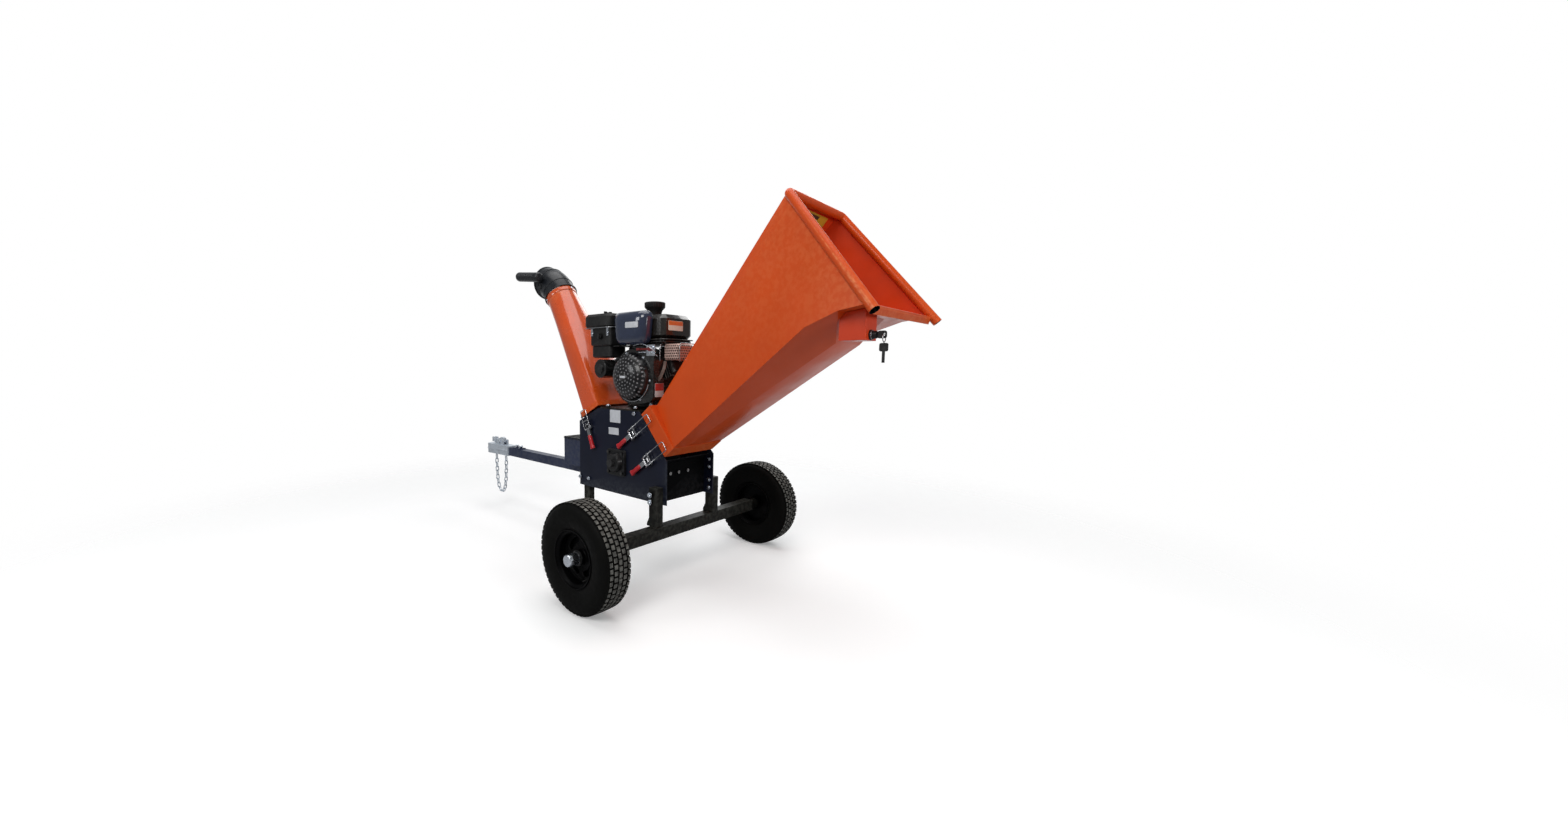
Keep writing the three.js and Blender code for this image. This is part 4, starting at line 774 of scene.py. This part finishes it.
def chain():
    """Welded chain of oval links along the hanging line."""
    width = [58, 58, 57, 55, 52, 45, 30]
    left = [(-1580 - w, 0, 318.5 - i * 35.6) for i, w in enumerate(width)]
    right = [(-1580 + w + (2 if i > 3 else 0), 0, 104.9 + i * 35.6) for i, w in enumerate(width[::-1])]
    line = smooth_path(left + [(-1580, 0, 88)] + right, 24)
    lengths = [0.0]
    for a, b in zip(line, line[1:]):
        lengths.append(lengths[-1] + (b - a).length)
    total = lengths[-1]
    count = 19
    pitch = total / count

    def at(s):
        for k in range(1, len(line)):
            if lengths[k] >= s:
                t = (s - lengths[k - 1]) / max(1e-9, lengths[k] - lengths[k - 1])
                return line[k - 1].lerp(line[k], t)
        return line[-1]

    bm = bmesh.new()
    for k in range(count):
        middle = at((k + 0.5) * pitch)
        way = (at(min(total, (k + 0.9) * pitch)) - at(max(0, (k + 0.1) * pitch))).normalized()
        side = Vector((0, 1, 0)) if k % 2 else way.cross(Vector((0, 1, 0)))
        half, bend = pitch / 2 + 2.9 - 8.6, 8.6
        loop = []
        for i in range(20):
            a = 2 * pi * (i + 0.5) / 20
            loop.append(middle + way * (bend * cos(a) + copysign(half, cos(a))) + side * bend * sin(a))
        tube(bm, loop, 3.1, 10, closed=True)
    piece("chain_links", bm, PALE_ZINC, "safety_chain", 60, replaces=("safety_chain",))


def battery_lid():
    """Lid with a raised field of small ribs."""
    dress("battery_box_lid", PLASTIC, 1.6)
    bm = bmesh.new()
    for k in range(11):
        x = -738 + k * 17.4
        box(bm, x, x + 9, -84, 84, 531.6, 533.6)
    piece("lid_ribs", bm, PLASTIC, "chassis", 30, 0.0006)
    bm = bmesh.new()
    tube(bm, [(x, y, 524) for x, y in rounded(-754.5, -547.5, -100.5, 100.5, 6, 3)], 1.6, 8, closed=True)
    piece("lid_hem", bm, PLASTIC, "chassis", 50)


coupler()
chain()
battery_lid()

# ---- latches

LATCHES = [
    ("hopper_latch_upper", -80, 662, 36, 92),
    ("hopper_latch_lower", 10, 556, 36, 92),
    ("chute_latch", -485, 655, 112, 38),
]


def latch(name, x, z, angle, pivot):
    """Over-centre latch: forked steel lever with a red grip, threaded side rods and a wire bail."""
    at = frame_matrix(x, -153, z, angle)
    drop, reach = -13, pivot + 20
    lever, bail = name + "_lever", name + "_bail"
    bm = bmesh.new()
    for s in (-1, 1):
        box(bm, -pivot - 58, -pivot + 8, drop - 4, drop + 4, s * 8.6 - 1.4, s * 8.6 + 1.4)
    box(bm, -pivot - 56, -pivot - 22, drop - 4.4, drop - 2.4, -9.6, 9.6)
    rod(bm, (-pivot, drop, -11.2), (-pivot, drop, 11.2), 4, 20, chamfer=0.8)
    rod(bm, (-reach, drop, -17), (-reach, drop, 17), 4.4, 20, chamfer=0.8)
    move(bm, at)
    piece(name + "_fork", bm, CHROME, lever, 30, 0.0006)
    bm = bmesh.new()
    rings = []
    for d, wide, deep in ((52, 7, 5.5), (56, 9, 7.5), (74, 9.6, 8), (98, 9.4, 7.6), (107, 11.5, 8.2),
                          (114, 13.2, 8.8), (118, 12.4, 8)):
        ring = []
        for a in around(20):
            c, s = cos(a), sin(a)
            k = 1 / max(0.001, (abs(c) ** 3 + abs(s) ** 3) ** (1 / 3))
            ring.append((-pivot - d, drop - 2 + deep * k * s, wide * k * c))
        rings.append(ring)
    quad_skin(bm, rings, True)
    move(bm, at)
    piece(name + "_grip", bm, RED, lever, 38, 0.0008, replaces=(lever,))

    bm = bmesh.new()
    out = drop - 5.5
    corner = [(24, 20), (29, 18.6), (31.6, 14.5), (32, 8), (32, -8), (31.6, -14.5), (29, -18.6), (24, -20)]
    line = [(-reach + 6, out, 20)] + [(a, out, b) for a, b in corner] + [(-reach + 6, out, -20)]
    tube(bm, line, 2.1, 12)
    for s in (-1, 1):
        for k in range(15):
            d = -reach + 16 + k * 2.6
            rod(bm, (d, out, s * 20), (d + 1.5, out, s * 20), 2.9, 12, chamfer=0.5)
        for d in (14, 58):
            rod(bm, (-reach + d, out, s * 20), (-reach + d + 5, out, s * 20), 5.4, 6)
        rod(bm, (-reach, drop + 1, s * 17.6), (-reach, drop + 1, s * 22.4), 6.6, 20, chamfer=0.8)
        rod(bm, (-reach, drop - 2, s * 20), (-reach + 8, out, s * 20), 3.6, 12)
    box(bm, -reach + 34, -reach + 40, out - 3.4, out + 3.4, -26, 26)
    move(bm, at)
    piece(name + "_wire", bm, CHROME, bail, 34, 0.0004, replaces=(bail,))


for spec in LATCHES:
    latch(*spec)

# ---- hopper and its key box


def shaded_trough_faces(place, normal):
    """True for faces that look towards the hopper's middle line; these take the darker orange of painted
    shade.
    """
    base = frame_matrix(OX - 0.0475, 0, 0.6066, 39.8)
    p = base.inverted() @ place
    n = base.to_3x3().inverted() @ normal
    return p.x > 0.06 and -(n.y * p.y + n.z * (p.z + 0.02)) > 0.02


# the trough's inner faces take the darker orange: painted shade
dress("hopper_shell", ORANGE, 1.1, 24, ORANGE_SHADED, shaded_trough_faces)


def hopper_rim():
    """Bent tube round the mouth with one smooth turn at each upper corner, open at its lower ends."""
    r, wall = 15.5, 2.4
    top, top_half, foot, foot_half, tube_x = 236, 182, -271, 262, 1013
    turns = []
    for s in (-1, 1):
        a = Vector((tube_x - 2, s * foot_half, foot))
        c = Vector((tube_x, s * top_half, top))
        down = (a - c).normalized()
        side = Vector((0, -s, 0))
        p0, p1 = c + down * 14, c + side * 14
        bend = [((1 - t) ** 2) * p0 + 2 * t * (1 - t) * c + t * t * p1 for t in (i / 8 for i in range(9))]
        turns.append([a] + [a.lerp(p0, 0.5)] + bend)
    path = turns[0] + turns[1][::-1]
    bm = bmesh.new()
    rings, side = [], Vector((1, 0, 0))
    for i, p in enumerate(path):
        way = (path[min(i + 1, len(path) - 1)] - path[max(i - 1, 0)]).normalized()
        side = (side - way * side.dot(way)).normalized()
        rings.append((p, way, side.copy()))
    outer = [circle(p, w, r, 32, side=s) for p, w, s in rings]
    inner = [circle(p, w, r - wall, 32, side=s) for p, w, s in rings]
    skin = outer + inner[::-1]
    skin.append(outer[0])
    quad_skin(bm, skin)
    for k, face in enumerate(bm.faces):
        face.material_index = 1 if k >= 32 * len(outer) else 0
    move(bm, HOPPER)
    piece("hopper_rim_look", bm, ORANGE, "hopper", 40, 0.0006, replaces=("hopper_rim",), mats=(CASING,))


hopper_rim()
# the key box takes the darker orange: painted shade
dress("key_box", ORANGE_SHADED, 1.4)


def keys():
    """Switch with a stepped bezel, its key, and the spare key on a split ring."""
    x, y, z = 853, -164, 986
    bm = bmesh.new()
    profile = [(0, 0.5), (15, 0.5), (15, 4), (13.6, 5.4), (11.6, 6), (11, 18), (10, 19.8), (6.4, 20),
               (5.6, 17), (0, 17)]
    rings = [circle((x + h, y, z), (1, 0, 0), max(rr, 0.01), 40, side=(0, 0, 1)) for rr, h in profile]
    quad_skin(bm, rings)
    piece("key_switch_look", bm, PLASTIC, "hopper", 30, 0.0004, replaces=("key_switch",))
    bm = bmesh.new()
    tube(bm, circle((x + 6.2, y, z), (1, 0, 0), 13, 40, side=(0, 0, 1)), 1.1, 8, closed=True)
    piece("key_bezel", bm, CHROME, "hopper", 60)
    dress("ignition_key", PLASTIC, 0.9)
    dress("spare_key", PLASTIC, 0.8)
    bm = bmesh.new()
    tube(bm, circle((x + 40, y, z - 10), (1, 0, 0), 11, 36, side=(0, 0, 1)), 1.35, 10, closed=True)
    piece("key_ring", bm, CHROME, "spare_key", 60)


keys()

# ---- chute, hood and grip

HALF_X, HALF_Y, TOP_X, TOP_Z, TOP_R = 67, 153, -108.5, 716.5, 78
LEAN = atan2(-TOP_X, TOP_Z)


def chute_ring(t, grow, count=96):
    points = []
    for i in range(count):
        a = (i + 0.5) / count * 2 * pi
        c, s = cos(a), sin(a)
        power = 14 - 12 * min(1, t * 1.15) ** 0.6
        k = 1 / (abs(c) ** power + abs(s) ** power) ** (1 / power)
        k0 = 1 / max(abs(c), abs(s))
        k = min(k, k0)
        square = (c * k * (HALF_X - 4 + grow), s * k * (HALF_Y - 6 + grow))
        rnd = (c * (TOP_R + grow), s * (TOP_R + grow))
        x = square[0] + (rnd[0] - square[0]) * t
        y = square[1] + (rnd[1] - square[1]) * t
        points.append(Vector((x + TOP_X * t, y, 3 + (TOP_Z - 3) * t + x * tan(LEAN) * t)))
    return points


def chute():
    """Duct that turns from a wide rectangle at the flange into a round collar."""
    bm = bmesh.new()
    steps = [0, 0.03, 0.1, 0.2, 0.32, 0.44, 0.56, 0.68, 0.8, 0.9, 1.0]
    outer = [chute_ring(t, 0) for t in steps]
    inner = [chute_ring(t, -3) for t in steps]
    skin = outer + inner[::-1]
    skin.append(outer[0])
    quad_skin(bm, skin)
    axis = Vector((-sin(LEAN), 0, cos(LEAN)))
    top = Vector((TOP_X, 0, TOP_Z))
    bead = [(TOP_R + 1, -24), (TOP_R + 4.4, -22), (TOP_R + 5, -20), (TOP_R + 5, -2), (TOP_R + 4.4, -0.4),
            (TOP_R - 2.4, -0.4), (TOP_R - 2.4, -6), (TOP_R - 2.8, -22)]
    rings = [circle(top + axis * h, axis, rr, 96, side=(0, 1, 0)) for rr, h in bead]
    rings.append(rings[0])
    quad_skin(bm, rings)
    move(bm, CHUTE)
    piece("chute_duct", bm, DUCT_ORANGE, "chute", 26, replaces=("chute_shell",))

    bm = bmesh.new()
    ring = rounded(-70, 70, -153, 153, 3, 2)
    hole = rounded(-62.5, 62.5, -146.5, 146.5, 2, 2)
    skin = [[(x, y, z) for x, y in line] for line, z in ((ring, 0.4), (ring, 24), (hole, 24), (hole, 0.4))]
    quad_skin(bm, skin + [skin[0]])
    box(bm, -44, -16, -156, -152, 4, 22)
    box(bm, -36, -24, -161, -155, 11, 17)
    for x in (-40, 40):
        rod(bm, (x - 14, 165, 0), (x + 14, 165, 0), 9, 24)
        box(bm, x - 14, x + 14, 151, 165, 2, 9)
    move(bm, CHUTE)
    piece("chute_flange", bm, ORANGE, "chute", 30, 0.0011)
    bm = bmesh.new()
    for a in (40, 160, 280):
        way = (Vector((0, 1, 0)) * cos(a * RAD) + axis.cross(Vector((0, 1, 0))) * sin(a * RAD))
        hexagon(bm, top - axis * 11 + way * (TOP_R + 5), way, 5, 5)
    move(bm, CHUTE)
    piece("chute_collar_screws", bm, ZINC, "chute", 30, 0.0004)


def hood():
    """Moulded elbow that turns on the chute, with rolled rims and an arm to the grip."""
    radius, wall, bend, length = 84, 3, 46 * RAD, 135
    axis = Vector((-sin(LEAN), 0, cos(LEAN)))
    start = Vector((TOP_X, 0, TOP_Z)) + axis * 1

    def ring(centre, turn, r):
        across = Vector((cos(turn), 0, sin(turn)))
        return [centre + across * r * cos(a) + Vector((0, r * sin(a), 0))
                for a in around(72)]

    line = [(start, LEAN)]
    centre = start + axis * 12
    line.append((centre, LEAN))
    steps = 16
    for k in range(steps):
        turn = LEAN + bend * (k + 0.5) / steps
        centre = centre + Vector((-sin(turn), 0, cos(turn))) * (length + 7) / steps
        line.append((centre, LEAN + bend * (k + 1) / steps))
    bm = bmesh.new()
    outer = [ring(c, t, radius) for c, t in line]
    inner = [ring(c, t, radius - wall) for c, t in line]
    skin = outer + inner[::-1]
    quad_skin(bm, skin + [skin[0]])
    bead = [(radius + 5, 1), (radius + 5, 7.6), (radius + 3.6, 9), (radius - 1, 9), (radius - 1, 1)]
    rings = [ring(Vector((TOP_X, 0, TOP_Z)) + axis * h, LEAN, rr) for rr, h in bead]
    quad_skin(bm, rings + [rings[0]])
    last, turn = line[-1]
    ahead = Vector((-sin(turn), 0, cos(turn)))
    roll = [(radius - 1, -9), (radius + 2.6, -8.4), (radius + 4, -6.6), (radius + 4, -1.4),
            (radius + 2.8, 0), (radius - 3, 0)]
    rings = [ring(last + ahead * h, turn, rr) for rr, h in roll]
    quad_skin(bm, rings + [rings[0]])
    for x, z in ((-124, 762), (-150, 790)):
        box(bm, x - 11.5, x + 11.5, -88, -72, z - 8.5, z + 8.5)
    move(bm, CHUTE)
    piece("hood_elbow", bm, HOOD_BLACK, "hood", 34, 0.0007, replaces=("chute_hood",))
    bm = bmesh.new()
    for k in (4, 12):
        c, t = line[k]
        tube(bm, ring(c, t, radius + 0.6), 1.7, 8, closed=True)
    move(bm, CHUTE)
    piece("hood_ribs", bm, HOOD_BLACK, "hood", 60)
    bm = bmesh.new()
    a, b = Vector((-1134, -112, 1374)), Vector((-930, -112, 1350))
    way = (b - a).normalized()
    total = (b - a).length
    profile = [(0, 0.4), (14, 0.4), (19, 1.6), (23.4, 5), (25, 10)]
    for k in range(9):
        d = 26 + k * 17.2
        profile += [(25, d), (23.6, d + 1.6), (23.6, d + 3.2), (25, d + 4.8)]
    profile += [(25, total - 10), (23.4, total - 5), (19, total - 1.6), (14, total - 0.4), (0, total - 0.4)]
    rings = [circle(a + way * d, way, max(rr, 0.01), 40, side=(0, 1, 0)) for rr, d in profile]
    quad_skin(bm, rings)
    piece("hood_grip_look", bm, HOOD_BLACK, "hood", 40, replaces=("hood_grip",))


chute()
hood()

# ---- engine

CX, CZ = CRANK
# the holes of the recoil cover are drawn as pale dots: painted glints that stand in for highlights on the
# rims between the holes
RECOIL_GLINTS = perforated("recoil_screen_painted_glints", (0.003, 0.003, 0.004), (0.24, 0.24, 0.25), 0.0145, 0.21, row(CX, 0, CZ),
                   (1, 0, 0), (0, 0, 1), 0.28, coat=0.2, rings=True)
GUARD = perforated("muffler_screen", (0.6, 0.4, 0.34), (0.01, 0.008, 0.008), 0.0105, 0.3, row(-5, 0, 950),
                   (1, 1, 0), (0, 0, 1), 0.32, metal=0.55)
HEAT = surface("heated_steel", (0.36, 0.24, 0.2), 0.36, metal=1.0, vary=0.3, scale=22,
               edge=(0.62, 0.5, 0.44), grain=(420, 0.12))


def engine_body():
    """The engine's CAD pieces, with case ribs, screws and the drain plug."""
    dress("engine_block", ALLOY, 2.0)
    dress("blower_housing", ENGINE, 4.5, 40)
    dress("starter_motor", ENGINE, 1.6)
    dress("recoil_handle", PLASTIC, 1.4, 50)
    dress("throttle_lever", LEVER, 1.2)
    dress("muffler", HEAT, 1.6)
    dress("fuel_tank", TANK, 3.0, 40)
    dress("air_cleaner", PLASTIC, 2.6, 36)
    dress("top_cover", GLOSS, 3.0, 60)
    heads = [(CX + 108 * cos(a * RAD), -124.4, CZ + 108 * sin(a * RAD))
             for a in (-62, -8, 50, 110, 165, 225)]
    bolts("housing_screws", heads, (0, -1, 0), 4.6, 5)
    bm = bmesh.new()
    for k in range(7):
        z = 726 + k * 13
        box(bm, CX - 97, CX - 88, -40, 96, z, z + 4)
        box(bm, CX + 86, CX + 94.5, -40, 96, z, z + 4)
    piece("case_ribs", bm, ALLOY, "chassis", 30, 0.001)
    spots = [(CX + x, 118.4, z) for x in (-76, 76) for z in (730, 800, 888)]
    bolts("case_bolts", spots, (0, 1, 0), 6, 6)
    bm = bmesh.new()
    rod(bm, (CX + 60, -52, 722), (CX + 60, -70, 722), 11, 6)
    rod(bm, (CX + 60, -50, 722), (CX + 60, -56, 722), 14, 24, chamfer=1)
    piece("drain_plug", bm, ZINC, "chassis", 30, 0.0005)


def recoil():
    """Domed starter cover with rings of small holes drawn as pale dots (painted glints), a plain centre
    badge and a bright lower edge.
    """
    bm = bmesh.new()
    dome = [(15, -181), (38, -180), (55, -177.4), (70, -172.4), (81, -166), (90, -158.4), (96.5, -149.5),
            (101, -140), (104.4, -131), (106, -124.6), (99, -124.6), (96, -136), (89, -150),
            (76, -162), (52, -172), (15, -176)]
    lathe_y(bm, dome, CX, CZ, 120)
    piece("recoil_dome", bm, RECOIL_GLINTS, "chassis", 36, replaces=("recoil_starter",))
    bm = bmesh.new()
    boss = [(0.01, -182.3), (15, -182.2), (18.5, -181.6), (20, -180.6), (20, -177), (0.01, -177)]
    lathe_y(bm, boss, CX, CZ, 64)
    piece("recoil_boss", bm, ENGINE, "chassis", 36)
    plate = face_frame((CX, -182.1, CZ), (1, 0, 0), (0, 0, 1))
    plate2d("recoil_badge", [rounded(-17, 17, -4.5, 4.5, 2)], 0.8, plate, LABEL, "chassis", 0.2)
    bm = bmesh.new()
    arc = [(CX + 107 * cos(a * RAD), -127.5, CZ + 107 * sin(a * RAD)) for a in range(196, 345, 4)]
    tube(bm, arc, 3.0, 12)
    piece("recoil_edge", bm, CHROME, "chassis", 60)
    bm = bmesh.new()
    for a in (20, 92, 164, 236, 308):
        c, s = cos(a * RAD), sin(a * RAD)
        rod(bm, (CX + 99 * c, -126, CZ + 99 * s), (CX + 99 * c, -146, CZ + 99 * s), 5.5, 16, chamfer=1)
    piece("recoil_posts", bm, ENGINE, "chassis", 36)


def fuel_cap():
    """Ribbed cap that tapers to its neck."""
    bm = bmesh.new()
    rings = []
    profile = [(0.01, 1171.6), (36, 1171.6), (42, 1170.6), (44.6, 1168), (44.6, 1150), (41, 1144.6),
               (33, 1136.5), (30, 1124),
               (28.6, 1112.4), (0.01, 1112.4)]
    ribs = 28
    for r, z in profile:
        ring = []
        for a in around(ribs * 6):
            lift = 1.3 * max(0, cos(ribs * a)) if 1112.4 < z < 1170 and r > 32 else 0
            ring.append(Vector((-172 + (r + lift) * cos(a), -20 + (r + lift) * sin(a), z)))
        rings.append(ring)
    quad_skin(bm, rings)
    piece("fuel_cap_look", bm, PLASTIC, "fuel_cap", 40, replaces=("fuel_cap",))


def tank_trim():
    """Welded seam round the tank and a plain two-colour label on its end."""
    bm = bmesh.new()
    seam = [(x, y, 1005) for x, y in rounded(-322, -30, -106, 90, 30, 8)]
    tube(bm, seam, 2.6, 8, closed=True)
    piece("tank_seam", bm, TANK, "chassis", 60)
    label = face_frame((-35.6, -31, 1062), (0, 1, 0), (0, 0, 1))
    cream = surface("label_cream", (0.86, 0.82, 0.7), 0.42, vary=0.07, scale=70, grain=(900, 0.03))
    amber = surface("label_amber", (0.8, 0.2, 0.05), 0.42, vary=0.07, scale=70, grain=(900, 0.03))
    plate2d("tank_label", [rounded(-45, 44, -20, 20, 2)], 0.6, label, cream, "chassis", 0.15)
    strip = label @ Matrix.Translation((0, 0, 0.35))
    plate2d("tank_label_band", [rounded(-44, 43, 2, 19, 1)], 0.5, strip, amber, "chassis", 0.12)


def air_trim():
    """Bright bead under the lid, a wing knob and two clips."""
    bm = bmesh.new()
    tube(bm, [(x, y, 1065) for x, y in rounded(-516.5, -327.5, -150.5, -5.5, 28, 6)], 2.2, 8, closed=True)
    piece("cleaner_bead", bm, CHROME, "chassis", 60)
    bm = bmesh.new()
    rod(bm, (-422, -78, 1127), (-422, -78, 1133), 20, 40, chamfer=1.5)
    rod(bm, (-422, -78, 1132), (-422, -78, 1140), 9, 30, end=8, chamfer=1.2)
    for s in (-1, 1):
        box(bm, -422 - 2.5, -422 + 2.5, -78 + s * 15 - 8, -78 + s * 15 + 8, 1133, 1143)
    piece("cleaner_knob", bm, PLASTIC, "chassis", 34, 0.001)
    bm = bmesh.new()
    for x in (-460, -350):
        box(bm, x - 7, x + 7, -143.5, -139, 1028, 1062)
        rod(bm, (x, -146, 1040), (x, -139, 1040), 5, 16, chamfer=0.8)
    piece("cleaner_clips", bm, ZINC, "chassis", 32, 0.0006)


def cover_trim():
    """Plain silver badge on the front of the cover."""
    badge = face_frame((-170, -161.2, 1066), (0.9994, 0.035, 0), (0, 0, 1))
    plate2d("cover_badge", [rounded(-38, 38, -12, 12, 4)], 1.6, badge, LABEL, "chassis", 0.3)


def muffler_trim():
    """Pierced heat guard with a rolled bright rim and a strap down to the cylinder."""
    dress("muffler_guard", GUARD, 2.4, 40)
    bm = bmesh.new()
    for x in (-57, 55.4):
        loop = [(x, y, z) for y,
                z in ((-103, 914), (-104, 930), (-104, 966), (-100, 979), (-90, 984.6), (-12, 984.6))]
        tube(bm, smooth_path(loop, 6), 2.4, 10)
    piece("guard_rim", bm, CHROME, "chassis", 60)
    bm = bmesh.new()
    line = smooth_path([(-28, -101, 913), (-36, -101, 884), (-54, -101, 852), (-71, -101, 834)], 8)
    rings, thin = [], Vector((0, 1.2, 0))
    for i, p in enumerate(line):
        way = (line[min(i + 1, len(line) - 1)] - line[max(i - 1, 0)]).normalized()
        wide = Vector((way.z, 0, -way.x)) * 8
        rings.append([p + wide - thin, p + wide + thin, p - wide + thin, p - wide - thin])
    quad_skin(bm, rings, True)
    piece("guard_strap", bm, HEAT, "chassis", 30, 0.0005)
    bm = bmesh.new()
    rod(bm, (44, 60, 950), (74, 60, 950), 13.4, 32)
    rod(bm, (74, 60, 950), (74.6, 60, 950), 11, 32)
    piece("tail_pipe", bm, HEAT, "chassis", 34, 0.0008)


def linkage():
    """Governor rods, spring and throttle plate by the carburettor, and the label on the shroud's side."""
    bm = bmesh.new()
    long_rod = [(-186, -126, 974), (-182, -139, 978), (-148, -139.5, 985), (-112, -139.5, 982),
                (-76, -138, 966), (-66, -122, 950)]
    short_rod = [(-86, -127, 952), (-80, -128, 948), (-66, -128, 944), (-58, -118, 934)]
    for line in (long_rod, short_rod):
        tube(bm, smooth_path(line, 8), 1.5, 8)
    coil = [(-158 + 52 * k / 120, -130 + 3.4 * cos(k * 0.9), 951 + 3.4 * sin(k * 0.9)) for k in range(121)]
    tube(bm, coil, 0.8, 6)
    piece("governor_rods", bm, ZINC, "chassis", 60)
    bm = bmesh.new()
    box(bm, -118, -68, -124.2, -121, 936, 982)
    rod(bm, (-78, -130, 972), (-78, -124, 972), 5, 16, chamfer=0.8)
    piece("governor_plate", bm, ZINC, "chassis", 30, 0.0008)
    white = surface("label_white", (0.72, 0.7, 0.69), 0.42, vary=0.08, scale=70, grain=(900, 0.03))
    red = surface("label_red", (0.6, 0.05, 0.04), 0.42, vary=0.1, scale=70, grain=(900, 0.03))
    side = face_frame((CX + 132.6, -91, CZ - 54), (0, 1, 0), (0, 0, 1))
    band = side @ Matrix.Translation((0, 0, 0.35))
    plate2d("engine_label", [rounded(-26, 26, -29, 29, 2)], 0.6, side, white, "chassis", 0.15)
    plate2d("engine_label_band", [rounded(-25, 25, -2, 28, 1)], 0.5, band, red, "chassis", 0.12)


def tank_tray():
    """Dark tray that carries the tank and cover above the cylinder."""
    bm = bmesh.new()
    box(bm, -318, -62, -104, 72, 979, 985.4)
    box(bm, -344, -300, -118, 30, 979, 984)
    piece("tank_tray", bm, PLASTIC, "chassis", 30, 0.0012)


def warning_label():
    """Plain amber plate under the top wall of the mouth."""
    amber = surface("label_warning", (0.62, 0.4, 0.03), 0.45, vary=0.1, scale=90, grain=(900, 0.03))
    dark = surface("label_ink", (0.05, 0.04, 0.02), 0.5, vary=0.1, scale=90, grain=(900, 0.03))
    at = face_frame((528.3, 45, 1391.9), (0, 1, 0), (0.6583, 0, 0.7528))
    plate2d("mouth_label", [rounded(-85, 85, -42, 42, 3)], 0.6, at, amber, "hopper", 0.15)
    at = at @ Matrix.Translation((0, 0, 0.35))
    plate2d("mouth_label_band", [rounded(-60, 30, 24, 36, 1)], 0.5, at, dark, "hopper", 0.12)


engine_body()
tank_tray()
warning_label()
recoil()
fuel_cap()
tank_trim()
air_trim()
cover_trim()
muffler_trim()
linkage()

# ---- plain labels

upper = face_frame((-286, -153.4, 672), (1, 0, 0), (0, 0, 1))
plate2d("plate_label_a", [rounded(-35, 35, -30, 26, 2)], 0.6, upper, LABEL, "chassis", 0.15)
lower = face_frame((-296, -153.4, 603), (1, 0, 0), (0, 0, 1))
plate2d("plate_label_b", [rounded(-34, 34, -16, 15, 2)], 0.6, lower, LABEL, "chassis", 0.15)


# ---- last update of the scene

write_size()
